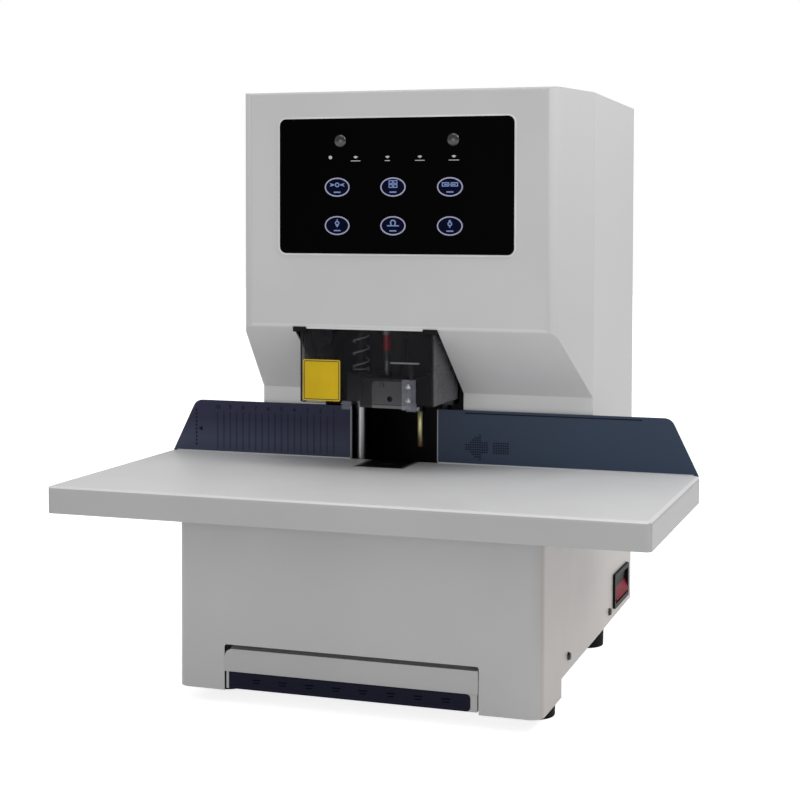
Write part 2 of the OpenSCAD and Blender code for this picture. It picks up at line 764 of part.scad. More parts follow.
drawer_w = drawer_open_w - 2.2;
tray_w = tunnel_w - 12;
drawer_z0 = skirt_front_z + 1.4;
drawer_z1 = drawer_open_z - 2;
drawer_turn = 16;
lip_z = 33;

// Tray with a front that curves back at the top, and lips that run on the rails
module drawer() {
  x0 = tunnel_x - tray_w / 2;
  x1 = tunnel_x + tray_w / 2;
  front_z = drawer_z1 - drawer_turn;
  color("#9b9b9d") difference() {
    union() {
      along_x(tunnel_x - drawer_w / 2, tunnel_x + drawer_w / 2)
        polygon(concat([[y_body + 0.4, drawer_z0]],
                       [for (a = [180:-9:90]) [y_body + 0.4 + drawer_turn + drawer_turn * cos(a), front_z + drawer_turn * sin(a)]],
                       [[y_body + 20, drawer_z1], [y_body + 20, drawer_z0]]));
      box(x0, x1, y_body + 19, y_body + drawer_l, drawer_z0, drawer_z1);
      for (side = [-1, 1]) translate([tunnel_x, 0, 0]) mirror([side < 0 ? 1 : 0, 0, 0])
        box(tray_w / 2 - 1, tunnel_w / 2 - 0.6, y_body + 126, y_body + drawer_l, lip_z, lip_z + 1.6);
    }
    box(x0 + 1.5, x1 - 1.5, y_body + 22, y_body + drawer_l - 1.5, drawer_z0 + 1.5, drawer_z1 + 5);
  }
}

module drawer_strip() {
  z0 = drawer_z0 + 0.2;
  z1 = 23.3;
  color("#1f2438") along_y(y_body - 0.2, y_body + 0.4)
    polygon(rounded([[tunnel_x - drawer_w / 2 + 2.2, z0], [tunnel_x + drawer_w / 2 - 4.6, z0],
                     [tunnel_x + drawer_w / 2 - 4.6, z1], [tunnel_x - drawer_w / 2 + 2.2, z1]], [0.5, 3, 3, 0.5]));
}

module drawer_rails() {
  color("#8f9092") for (side = [-1, 1]) translate([tunnel_x, 0, 0]) mirror([side < 0 ? 1 : 0, 0, 0])
    box(tray_w / 2 + 0.5, tunnel_w / 2, y_body + 32, y_body + drawer_l + 4, lip_z - 2.8, lip_z - play);
}

// ---- Press carriage ----

module press_carriage() {
  color("#303134") difference() {
    along_z(carriage_z, carriage_z + carriage_t)
      polygon(rounded([[column_x[0] - 12, carriage_y0 + 14], [axis_x - 20, carriage_y0], [axis_x + 20, carriage_y0],
                       [column_x[1] + 12, carriage_y0 + 14], [column_x[1] + 12, carriage_y1],
                       [column_x[0] - 12, carriage_y1]], [6, 6, 6, 6, 3, 3]));
    for (x = column_x) post(x, column_y, carriage_z - 5, carriage_z + carriage_t + 5, column_r + 2.5 + 0.02);
    post(axis_x, turret_y, carriage_z - 5, carriage_z + carriage_t + 5, 7 + fit);
  }
}

module column_bushes() {
  color("#b98b4a") for (x = column_x) difference() {
    post(x, column_y, carriage_z, carriage_z + carriage_t + 3, column_r + 2.5);
    post(x, column_y, carriage_z - 5, carriage_z + carriage_t + 10, column_r + fit);
  }
}

// Rack with straight flanks at 20 degrees, its pitch line at rack_y
module feed_rack() {
  step = PI * gear_module;
  half = step / 4 - backlash / 2;
  slope = tan(20);
  add = gear_module;
  z0 = pinion_z - 2.5 * step;
  teeth = ceil((press_stroke + 5 * step) / step);
  z1 = z0 + teeth * step;
  color("#a9abaf") along_x(axis_x - gear_w / 2, axis_x + gear_w / 2)
    polygon(concat([[carriage_y1, z0], [rack_y - rack_root, z0]],
      [for (i = [0:teeth - 1]) let (c = z0 + (i + 0.5) * step) each
        [[rack_y - rack_root, c - half - rack_root * slope], [rack_y + add, c - half + add * slope],
         [rack_y + add, c + half - add * slope], [rack_y - rack_root, c + half + rack_root * slope]]],
      [[rack_y - rack_root, z1], [carriage_y1, z1]]));
}

// Involute pinion on its shaft, with a tooth gap towards the rack
module feed_pinion() {
  base_r = pitch_r * cos(20);
  tip_r = pitch_r + gear_module;
  root_r = pitch_r - rack_root;
  steps = 5;
  flank = [for (i = [0:steps]) base_r + 0.01 + (tip_r - base_r - 0.01) * i / steps];
  color("#c2a15a") {
    along_x(axis_x - gear_w / 2 - 1, axis_x + gear_w / 2 + 1) translate([pinion_y, pinion_z])
      polygon([for (t = [0:pinion_teeth - 1]) let (mid = 180 + (t + 0.5) * 360 / pinion_teeth) each concat(
        [let (a = mid - tooth_half(flank[0], base_r)) root_r * [cos(a), sin(a)]],
        [for (r = flank) let (a = mid - tooth_half(r, base_r)) r * [cos(a), sin(a)]],
        [for (i = [steps:-1:0]) let (r = flank[i], a = mid + tooth_half(r, base_r)) r * [cos(a), sin(a)]],
        [let (a = mid + tooth_half(flank[0], base_r)) root_r * [cos(a), sin(a)]])]);
    rod_x(frame_x[0], axis_x, pinion_y, pinion_z, shaft_r);
    rod_x(axis_x, frame_x[1] + frame_t + 13, pinion_y, pinion_z, shaft_r);
    rod_x(axis_x - gear_w / 2 - 6, axis_x + gear_w / 2 + 6, pinion_y, pinion_z, 8);
  }
}

spring_turns = 11;
spring_r = column_r + 2.4;
spring_z0 = foot_top_z + spring_wire / 2 + 0.2;
spring_z1 = carriage_z - spring_wire / 2 - 0.2;

// Height of the wire's middle after t turns: closed ends and an open middle
function spring_z(t) =
  let (tight = spring_wire * 1.25, open = (spring_z1 - spring_z0 - 3 * tight) / (spring_turns - 3))
  t < 1.5 ? spring_z0 + t * tight :
  t < spring_turns - 1.5 ? spring_z0 + 1.5 * tight + (t - 1.5) * open :
  spring_z1 - (spring_turns - t) * tight;

// One unbroken wire: 8 rings a turn, 6 sides
module spring(x, y) {
  rings = spring_turns * 8;
  sides = 6;
  points = [for (i = [0:rings], k = [0:sides - 1])
    let (t = i / 8, a = 360 * t, b = 360 * k / sides, r = spring_r + spring_wire / 2 * cos(b))
    [x + r * cos(a), y + r * sin(a), spring_z(t) + spring_wire / 2 * sin(b)]];
  faces = concat(
    [for (i = [0:rings - 1], k = [0:sides - 1]) let (j = (k + 1) % sides)
      each [[i * sides + k, i * sides + j, (i + 1) * sides + j], [i * sides + k, (i + 1) * sides + j, (i + 1) * sides + k]]],
    [for (k = [1:sides - 2]) [0, k + 1, k]],
    [for (k = [1:sides - 2]) [rings * sides, rings * sides + k, rings * sides + k + 1]]);
  polyhedron(points, faces);
}

module press_springs() {
  gap = [for (i = [8:spring_turns * 8]) spring_z(i / 8) - spring_z(i / 8 - 1) - spring_wire];
  echo(least_spring_gap = min(gap));
  color("#a5a7ab") for (x = column_x) spring(x, column_y);
}

// Gear motor that turns the turret, standing on the carriage
module turret_motor() {
  z0 = carriage_z + carriage_t;
  color("#4d5057") difference() {
    union() {
      post(axis_x, turret_y, z0, z0 + 40, 13);
      post(axis_x, turret_y, z0, z0 + 3, 16);
    }
    post(axis_x, turret_y, z0 - 5, z0 + 18, 9);
  }
}

// ---- Turret with the drill and the riveting tool ----

turret_top = carriage_z - play;
turret_t = 8;
motor_r = 15;
motor_z0 = 254;
heater_z0 = tip_z + 8;

module turret() {
  color("#5d6065") difference() {
    union() {
      along_z(turret_top - turret_t, turret_top) translate([axis_x, turret_y])
        polygon(rounded([[-17, -27], [17, -27], [17, 27], [-17, 27]], [14, 14, 14, 14], 8));
      post(axis_x, turret_y, turret_top - 1, carriage_z + carriage_t + 15, 7);
      post(axis_x, park_y, 252, turret_top - turret_t + 1, 7);
    }
    post(axis_x, axis_y, turret_top - turret_t - 5, turret_top + 5, 4);
  }
}

module drill_motor() {
  color("#8e9196") difference() {
    union() {
      post(axis_x, axis_y, motor_z0 + 4, turret_top - turret_t, motor_r);
      post(axis_x, axis_y, motor_z0, motor_z0 + 4, 9);
    }
    post(axis_x, axis_y, motor_z0 - 5, motor_z0 + 20, 3 + fit);
  }
}

// Heater of the riveting tool, hung from the turret below its heat break
module rivet_heater() {
  color("#8a8378") difference() {
    union() {
      post(axis_x, park_y, heater_z0 + 1.6, 252, 8);
    }
    for (z = [heater_z0 + 18, heater_z0 + 21.5]) translate([axis_x, park_y, z]) difference() {
      cylinder(h = 1.6, r = 12);
      cylinder(h = 1.6, r = 6.8);
    }
  }
}

module rivet_head() {
  color("#b8863b") translate([axis_x, park_y, 0]) difference() {
    union() {
      post(0, 0, tip_z + 3, heater_z0, 5);
      post(0, 0, tip_z, tip_z + 3, 3.6);
    }
    post(0, 0, tip_z - 1, tip_z + 0.8, 2.4);
  }
}

// White heat shield between the heater and the riveting head
module insulator_plate() {
  color("#eeeeea") post(axis_x, park_y, heater_z0, heater_z0 + 1.6, 8.6);
}

module drill_chuck() {
  color("#9fa2a6") difference() {
    union() {
      post(axis_x, axis_y, motor_z0 - 3.4, motor_z0 - play, 4.5);
      post(axis_x, axis_y, motor_z0 - 1, motor_z0 + 19, 3);
    }
    post(axis_x, axis_y, motor_z0 - 10, motor_z0 + 2, bit_d / 2 + fit);
  }
}

// Red sleeve that grips the shank
module bit_sleeve() {
  color("#a3202e") difference() {
    post(axis_x, axis_y, tip_z + 11, motor_z0 - 3.5, bit_d / 2 + 0.7);
    post(axis_x, axis_y, tip_z + 5, motor_z0, bit_d / 2 + 0.02);
  }
}

// Hollow paper drill, its mouth ground to a thin edge
module drill_bit() {
  color("#8d9096") translate([axis_x, axis_y, 0]) rotate_extrude()
    polygon([[bit_bore / 2, tip_z], [bit_bore / 2 + 0.1, tip_z], [bit_d / 2, tip_z + 3], [bit_d / 2, motor_z0 + 1],
             [bit_bore / 2, motor_z0 + 1]]);
}

// ---- Press foot ----

foot_front = axis_y - 17;

// Fork that holds the paper down: it runs on the columns and lets both tools through
module press_foot() {
  rear0 = column_y - 10;
  color("#3f4145") difference() {
    union() {
      along_z(foot_z, foot_top_z)
        polygon(rounded([[axis_x - 17, foot_front], [axis_x + 26, foot_front], [axis_x + 26, rear0 + 1],
                         [axis_x - 17, rear0 + 1]], [4, 2, 0, 0]));
      along_z(foot_z, foot_top_z)
        polygon(rounded([[column_x[0] - 9, rear0], [column_x[1] + 9, rear0], [column_x[1] + 9, column_y + 10],
                         [column_x[0] - 9, column_y + 10]], [3, 3, 6, 6]));
      box(axis_x + 23, axis_x + 26, foot_front, foot_front + 1.5, foot_top_z - 4, strip_z);
    }
    box(axis_x - slot_w / 2, axis_x + slot_w / 2, axis_y, column_y + 15, foot_z - 5, foot_top_z + 5);
    post(axis_x, axis_y, foot_z - 5, foot_top_z + 5, slot_w / 2);
    for (x = column_x) post(x, column_y, foot_z - 5, foot_top_z + 5, column_r + fit);
    rod_y(axis_x + 8.4, foot_front - 1, foot_front + 5, foot_z + 7, 2.2);
    post(stop_x, stop_y, foot_z - 5, foot_z + 8, 1.6 + fit);
  }
}

strip_z = 230.4;
stop_x = axis_x + 18.6;
stop_y = column_y - 5;

// Brass rod under the foot that ends the stroke, with its white collar
module foot_stop_rod() {
  color("#a8964a") {
    post(stop_x, stop_y, foot_z - 33, foot_z - 6, 1.9);
    post(stop_x, stop_y, foot_z - 6, foot_z, 3.2);
    post(stop_x, stop_y, foot_z - 1, foot_z + 7, 1.6);
  }
}

// Face plate of the foot with its sight hole, the clamp on its right and the strip above it
module foot_bracket() {
  x0 = axis_x + 16.4;
  x1 = axis_x + 26;
  plate = foot_front - 1.2;
  clamp = plate - 2;
  color("#9aa5a3") {
    difference() {
      along_y(plate, foot_front) polygon(rounded([[axis_x - 5.6, foot_z], [x1, foot_z], [x1, foot_top_z - 2],
                                                  [axis_x - 5.6, foot_top_z - 2]], [1, 1, 1, 3]));
      rod_y(axis_x + 8.4, plate - 5, foot_front + 5, foot_z + 7, 2.2);
    }
    difference() {
      along_y(clamp, plate) polygon(rounded([[x0, foot_z], [x1, foot_z], [x1 + 0.6, foot_z + 9], [x1 - 2, foot_top_z],
                                             [x0 + 2, foot_top_z], [x0 - 0.6, foot_z + 9]], [0.6, 0.6, 2, 2, 2, 2]));
      rod_y((x0 + x1) / 2, clamp - 5, plate + 5, foot_z + 5, 1.5);
    }
    translate([(x0 + x1) / 2 - 0.3, clamp, foot_z + 15]) rotate([90, 0, 0]) screw_z(0, 0, 0, 1.5, 2);
    translate([axis_x + 2, plate, foot_top_z - 5]) rotate([90, 0, 0]) screw_z(0, 0, 0, 1, 1.2);
    box(axis_x + 9, axis_x + 31, plate - 1, plate + 2.2, strip_z, strip_z + 1);
  }
}

base_plate();
rubber_feet();
foot_screws();
lower_cover();
drawer_rails();
worktable();
table_rails();
pad_insert();
fence_left();
fence_right();
fence_screws();
upper_cover();
head_cover();
rear_cover();
cover_screws();
guard();
guard_bumpers();
guard_plate();
control_panel();
touch_keys();
indicator_lamps();
indicator_domes();
panel_board();
switch_housing();
power_inlet();
side_frame_left();
side_frame_right();
top_bridge();
column_block();
guide_columns();
shaft_bearings();
feed_motor();
shuttle_rails();
shuttle_solenoid();
chip_chute();
transformer();
power_board();
drawer();
drawer_strip();
press_carriage();
column_bushes();
feed_rack();
press_springs();
turret_motor();
turret();
drill_motor();
rivet_heater();
rivet_head();
insulator_plate();
drill_chuck();
bit_sleeve();
drill_bit();
press_foot();
foot_stop_rod();
foot_bracket();
feed_pinion();
die_shuttle();
cutting_pad();
lower_die();
rocker();
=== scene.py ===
"""Looks of the document riveting machine.

Finishes, printed marks, small fittings, light and camera. Places are in millimetres, turned
into the frame's metres by MM, and come from the CAD nodes where a piece lines up with one.
"""

import json
import math

import bmesh
import bpy
from mathutils import Matrix, Vector
from mathutils.bvhtree import BVHTree


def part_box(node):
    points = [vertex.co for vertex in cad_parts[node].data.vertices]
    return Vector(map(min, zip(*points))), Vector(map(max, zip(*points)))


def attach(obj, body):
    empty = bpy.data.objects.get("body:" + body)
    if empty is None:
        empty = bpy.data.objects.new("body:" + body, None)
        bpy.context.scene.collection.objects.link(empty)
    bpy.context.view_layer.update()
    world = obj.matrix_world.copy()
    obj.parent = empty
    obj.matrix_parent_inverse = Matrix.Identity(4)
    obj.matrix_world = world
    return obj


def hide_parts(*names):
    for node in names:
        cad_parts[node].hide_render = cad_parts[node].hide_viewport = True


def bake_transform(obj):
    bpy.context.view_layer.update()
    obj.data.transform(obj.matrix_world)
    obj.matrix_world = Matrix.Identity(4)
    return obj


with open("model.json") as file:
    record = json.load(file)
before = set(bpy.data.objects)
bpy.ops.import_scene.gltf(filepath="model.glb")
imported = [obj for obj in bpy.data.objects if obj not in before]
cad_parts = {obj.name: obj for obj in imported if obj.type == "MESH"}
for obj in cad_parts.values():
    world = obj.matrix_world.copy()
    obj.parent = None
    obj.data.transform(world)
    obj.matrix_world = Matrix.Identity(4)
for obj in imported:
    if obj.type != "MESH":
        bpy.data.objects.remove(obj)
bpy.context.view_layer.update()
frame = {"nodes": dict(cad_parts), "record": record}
MM = 0.001
MERGE_GAP = 0.004 * MM           # corners closer than this are one corner
EASE_STEPS = 3                   # faces across an eased edge
EASE_ANGLE = math.radians(38)    # edges sharper than this are eased on a CAD node's copy
ROUND_ANGLE = math.radians(40)   # facets of a fitting that meet flatter than this look round
SPRING_ANGLE = math.radians(50)  # the same on the springs
FLAT_ANGLE = math.radians(0.5)   # triangles that meet flatter than this become one face


def corners(node):
    """Lowest and highest corner of a CAD node, in mm."""
    return [[round(value / MM, 3) for value in corner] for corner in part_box(node)]


def new_object(name, data):
    """An object for a mesh, a curve, a lamp or a camera, linked to the scene."""
    made = bpy.data.objects.new(name, data)
    bpy.context.scene.collection.objects.link(made)
    return made


# ---- Camera, at the photograph's place -------------------------------------

def add_camera():
    """Camera with the place, turn, lens and shift of the photograph."""
    place = (0.3943, -1.20484, 0.3403)
    yaw, pitch, roll = 0.32828, -0.03798, 0.00191
    level = math.pi / 2
    data = bpy.data.cameras.new("photo_camera")
    data.sensor_width = 36
    data.lens = 76.63
    data.shift_x = 0.0075
    data.shift_y = -0.1503
    data.clip_start = 0.05
    data.clip_end = 30
    camera = new_object("photo_camera", data)
    turn = (Matrix.Rotation(yaw, 4, "Z") @ Matrix.Rotation(level + pitch, 4, "X")
            @ Matrix.Rotation(roll, 4, "Z"))
    camera.matrix_world = Matrix.Translation(place) @ turn
    bpy.context.scene.camera = camera


# ---- Materials --------------------------------------------------------------

def new_material(name):
    """A material with its node tree and its main shader."""
    material = bpy.data.materials.new(name)
    material.use_nodes = True
    tree = material.node_tree
    return material, tree, tree.nodes["Principled BSDF"]


def object_noise(tree, scale, detail=2.0, stretch=(1, 1, 1)):
    """Noise on Object coordinates; scale is in waves per metre."""
    coords = tree.nodes.new("ShaderNodeTexCoord")
    mapping = tree.nodes.new("ShaderNodeMapping")
    mapping.inputs["Scale"].default_value = stretch
    noise = tree.nodes.new("ShaderNodeTexNoise")
    noise.inputs["Scale"].default_value = scale
    noise.inputs["Detail"].default_value = detail
    tree.links.new(coords.outputs["Object"], mapping.inputs["Vector"])
    tree.links.new(mapping.outputs["Vector"], noise.inputs["Vector"])
    return noise


def shades(colour, darker, lighter):
    """Two tones of a colour, between which it drifts."""
    return [c * darker for c in colour], [min(1, c * lighter) for c in colour]


def tint(tree, shader, noise, dark, light):
    """Colour that drifts between two tones with the noise."""
    ramp = tree.nodes.new("ShaderNodeValToRGB")
    for stop, position, tone in zip(ramp.color_ramp.elements, (0.35, 0.65), (dark, light)):
        stop.position = position
        stop.color = (*tone, 1)
    tree.links.new(noise.outputs["Fac"], ramp.inputs["Fac"])
    tree.links.new(ramp.outputs["Color"], shader.inputs["Base Color"])


def roughen(tree, shader, noise, low, high):
    """Roughness that drifts from low to high with the noise."""
    span = tree.nodes.new("ShaderNodeMapRange")
    for socket, value in (("From Min", 0.3), ("From Max", 0.7), ("To Min", low), ("To Max", high)):
        span.inputs[socket].default_value = value
    tree.links.new(noise.outputs["Fac"], span.inputs["Value"])
    tree.links.new(span.outputs["Result"], shader.inputs["Roughness"])


def bump(tree, shader, noise, depth, strength=1.0):
    """Fine relief in the shading; depth is in metres."""
    node = tree.nodes.new("ShaderNodeBump")
    node.inputs["Distance"].default_value = depth
    node.inputs["Strength"].default_value = strength
    tree.links.new(noise.outputs["Fac"], node.inputs["Height"])
    tree.links.new(node.outputs["Normal"], shader.inputs["Normal"])


COAT_GRAIN = 2600      # orange peel of a powder coat, in waves per metre
COAT_DEPTH = 0.00012   # its height in metres


def powder_coat(name, colour, rough=0.42, grain=COAT_GRAIN, depth=COAT_DEPTH, gloss=0.45,
                second=None):
    """Baked powder coat: fine orange peel, and a drift of tone that is faint without second."""
    material, tree, shader = new_material(name)
    drift = object_noise(tree, 9, 3)
    tones = (colour, second) if second else shades(colour, 0.97, 1.03)
    tint(tree, shader, drift, *tones)
    peel = object_noise(tree, grain, 2)
    roughen(tree, shader, peel, rough - 0.04, rough + 0.06)
    bump(tree, shader, peel, depth, 0.35)
    shader.inputs["Specular IOR Level"].default_value = gloss
    return material


ALONG_LINES = 0.03   # share of the grain's waves that is left along brushed lines


def bare_metal(name, colour, rough=0.3, brushed=None, grain=900):
    """Machined or ground metal; brushed is the direction of its lines."""
    material, tree, shader = new_material(name)
    shader.inputs["Metallic"].default_value = 1.0
    stretch = [ALONG_LINES if axis == brushed else 1 for axis in "XYZ"]
    lines = object_noise(tree, grain, 3, stretch)
    tint(tree, shader, lines, *shades(colour, 0.86, 1.08))
    roughen(tree, shader, lines, rough - 0.05, rough + 0.1)
    bump(tree, shader, lines, 0.00003, 0.3)
    return material


def plastic(name, colour, rough=0.35, grain=3200, depth=0.00004, coat=0.0, gloss=0.5):
    """Moulded plastic, rubber or print, with a clear coat where coat is given."""
    material, tree, shader = new_material(name)
    drift = object_noise(tree, 40, 2)
    tint(tree, shader, drift, *shades(colour, 0.94, 1.05))
    skin = object_noise(tree, grain, 2)
    roughen(tree, shader, skin, max(0.02, rough - 0.05), rough + 0.06)
    bump(tree, shader, skin, depth, 0.3)
    shader.inputs["Specular IOR Level"].default_value = gloss
    shader.inputs["Coat Weight"].default_value = coat
    shader.inputs["Coat Roughness"].default_value = 0.06
    return material


def clear_plastic(name, colour, alpha, rough=0.08, gloss=0.5):
    """Thin see-through plastic: tinted, glossy and partly open to view."""
    material, tree, shader = new_material(name)
    haze = object_noise(tree, 60, 2)
    tint(tree, shader, haze, *shades(colour, 0.9, 1.1))
    roughen(tree, shader, haze, rough, rough + 0.06)
    shader.inputs["Alpha"].default_value = alpha
    shader.inputs["IOR"].default_value = 1.49
    shader.inputs["Specular IOR Level"].default_value = gloss
    return material


def two_tone(name, low, high, height, rough=0.22, metal=0.0, gloss=0.35, blend=0.4,
             grain=1800, depth=0.00003):
    """One colour below a height and another above it; blend is half the step's height in mm."""
    material, tree, shader = new_material(name)
    coords = tree.nodes.new("ShaderNodeTexCoord")
    split = tree.nodes.new("ShaderNodeSeparateXYZ")
    step = tree.nodes.new("ShaderNodeMapRange")
    step.inputs["From Min"].default_value = (height - blend) * MM
    step.inputs["From Max"].default_value = (height + blend) * MM
    mix = tree.nodes.new("ShaderNodeMix")
    mix.data_type = "RGBA"
    mix.inputs["A"].default_value = (*low, 1)
    mix.inputs["B"].default_value = (*high, 1)
    tree.links.new(coords.outputs["Object"], split.inputs["Vector"])
    tree.links.new(split.outputs["Z"], step.inputs["Value"])
    tree.links.new(step.outputs["Result"], mix.inputs["Factor"])
    tree.links.new(mix.outputs["Result"], shader.inputs["Base Color"])
    skin = object_noise(tree, grain, 2)
    roughen(tree, shader, skin, rough, rough + 0.1)
    bump(tree, shader, skin, depth, 0.3)
    shader.inputs["Metallic"].default_value = metal
    shader.inputs["Specular IOR Level"].default_value = gloss
    return material


def graded_coat(name, low, high, height, blend, rough=0.4, gloss=0.45, grain=COAT_GRAIN):
    """Powder coat with painted light: it grows from one tone to another round a height; both are
    in mm.
    """
    return two_tone(name, low, high, height, rough, gloss=gloss, blend=blend, grain=grain,
                    depth=COAT_DEPTH)


def casing_finishes():
    """Powder coats of the covers, the drawer and the worktable, with painted light and shade on
    some faces.
    """
    return {
        "casing_paint": powder_coat("casing_powder_coat", (0.56, 0.56, 0.565)),
        "lower_paint": powder_coat("lower_casing_powder_coat", (0.484, 0.483, 0.486)),
        # painted shade: the lower cover's sides take a darker, warmer tone than its front,
        # drifting between two tones
        "lower_side": powder_coat("lower_side_painted_shade", (0.445, 0.424, 0.41),
                                  second=(0.51, 0.47, 0.448)),
        # painted light: the upper cover's sides grow lighter towards the top
        "side_paint": graded_coat("side_casing_painted_light", (0.52, 0.52, 0.522),
                                  (0.69, 0.69, 0.692), 300, 130),
        # painted light: the head's slanted cheeks lighter, more so towards the top
        "chamfer_paint": graded_coat("chamfer_painted_light", (0.552, 0.552, 0.554),
                                     (0.66, 0.66, 0.662), 350, 85),
        # painted light: the chin's sloped faces and the front faces below it lighter than the
        # head's front
        "chin_paint": powder_coat("chin_painted_light", (0.65, 0.65, 0.655)),
        # painted shade: near black on the covers' inner faces
        "casing_inside": powder_coat("casing_inside_painted_shade", (0.012, 0.012, 0.013), 0.6),
        "drawer_paint": powder_coat("drawer_powder_coat", (0.44, 0.44, 0.438)),
        "worktable_paint": powder_coat("worktable_powder_coat", (0.68, 0.68, 0.684), 0.38),
        # painted shade: the worktable's ends darkest, its front edge and underside darker than its
        # top
        "worktable_side": powder_coat("worktable_side_painted_shade", (0.36, 0.36, 0.362), 0.4),
        "worktable_rim": powder_coat("worktable_rim_painted_shade", (0.42, 0.42, 0.425), 0.4),
    }


PAINTED_SHEEN_HEIGHT = 172   # height of a painted reflection on the left fence: lighter and bluer below it, darker above
PAINTED_SHEEN_BLEND = 8      # half the height of that turn
FENCE_GRAIN = 2200


def fence_finishes():
    """Dark blue coats of the fence with painted reflection and shade, painted highlights at its
    edges and foot, and the print on it.
    """
    return {
        # painted reflection of the table: the left fence lighter and bluer low down, darker above
        "fence_paint": graded_coat("fence_dark_blue_painted_sheen", (0.042, 0.049, 0.089),
                                   (0.015, 0.018, 0.05), PAINTED_SHEEN_HEIGHT, PAINTED_SHEEN_BLEND,
                                   rough=0.36, gloss=0.2, grain=FENCE_GRAIN),
        # the scale's lines follow the same painted reflection
        "fence_line": two_tone("fence_line_print_painted_sheen", (0.02, 0.025, 0.05), (0.003, 0.004, 0.018),
                               PAINTED_SHEEN_HEIGHT, 0.36, gloss=0.2, blend=PAINTED_SHEEN_BLEND),
        # painted shade: the right half is a darker, greener copy of the fence coat, where the
        # right lamp lights it more
        "fence_right": powder_coat("fence_right_painted_shade", (0.028, 0.046, 0.082), 0.4,
                                   FENCE_GRAIN, gloss=0.2),
        # painted highlights: a pale tone on the fence's edges at the gap, and a paler line at its
        # foot
        "fence_edge": powder_coat("fence_edge_painted_highlight", (0.32, 0.32, 0.35), 0.4, FENCE_GRAIN),
        "fence_base": powder_coat("fence_base_painted_highlight", (0.5, 0.5, 0.53), 0.4, FENCE_GRAIN),
        "fence_print": plastic("fence_print", (0.004, 0.004, 0.014), 0.6, gloss=0.08),
    }


def panel_finishes():
    """Films and prints of the touch panel, the bare plate and the drawer's strip."""
    return {
        "panel_black": plastic("panel_film", (0.0006, 0.0006, 0.0008), 0.3, 3000, 0.00002,
                               gloss=0.01),
        # painted highlight on the panel film's edges and the rim round it
        "panel_edge": plastic("panel_film_painted_highlight", (0.7, 0.7, 0.71), 0.4),
        "key_print": plastic("key_print", (0.4, 0.4, 0.56), 0.5, gloss=0.1),
        "key_fill": plastic("key_fill", (0.0022, 0.003, 0.016), 0.45, gloss=0.02),
        "key_sign": plastic("key_sign", (0.22, 0.32, 0.6), 0.5, gloss=0.1),
        "lamp_lens": plastic("lamp_lens", (0.5, 0.53, 0.56), 0.3, gloss=0.2),
        "dome_plastic": plastic("dome_plastic", (0.014, 0.014, 0.016), 0.2, coat=0.35),
        "plate_yellow": plastic("yellow_film", (0.62, 0.42, 0.006), 0.42, gloss=0.15),
        "plate_edge": plastic("yellow_film_border", (0.012, 0.011, 0.01), 0.42),
        "strip_navy": powder_coat("strip_navy", (0.011, 0.011, 0.024), 0.5, gloss=0.05),
        "strip_print": plastic("strip_print", (0.001, 0.001, 0.004), 0.4, gloss=0.02),
    }


def guard_finishes():
    """Smoked and clear plastic of the guard and its buffers, with a painted reflection on the
    guard's side walls.
    """
    return {
        "guard_smoke": clear_plastic("guard_smoke", (0.01, 0.01, 0.013), 0.26, rough=0.1,
                                     gloss=0.12),
        # painted reflection: the guard's side walls paler and less clear than its front
        "guard_wing_painted_reflection": clear_plastic("guard_wing_painted_reflection", (0.16, 0.16, 0.17), 0.6, rough=0.25,
                                    gloss=0.3),
        "guard_edge": plastic("guard_cut_edge", (0.006, 0.006, 0.008), 0.2, gloss=0.1),
        "clear_plastic": clear_plastic("buffer_clear", (0.2, 0.2, 0.25), 0.3, rough=0.15,
                                       gloss=0.4),
        "buffer_screw": bare_metal("buffer_screw", (0.3, 0.3, 0.33), 0.25),
    }


ROD_DARK_HEIGHT = 190.6      # the thin brass rod is black above this height
COLUMN_SHADE = 204      # the guide column is in the head's shade above this height
BIT_SLEEVE_STEP = 239   # the bit's sleeve is dark below this height and red above it
BRASS = (0.44, 0.42, 0.22)


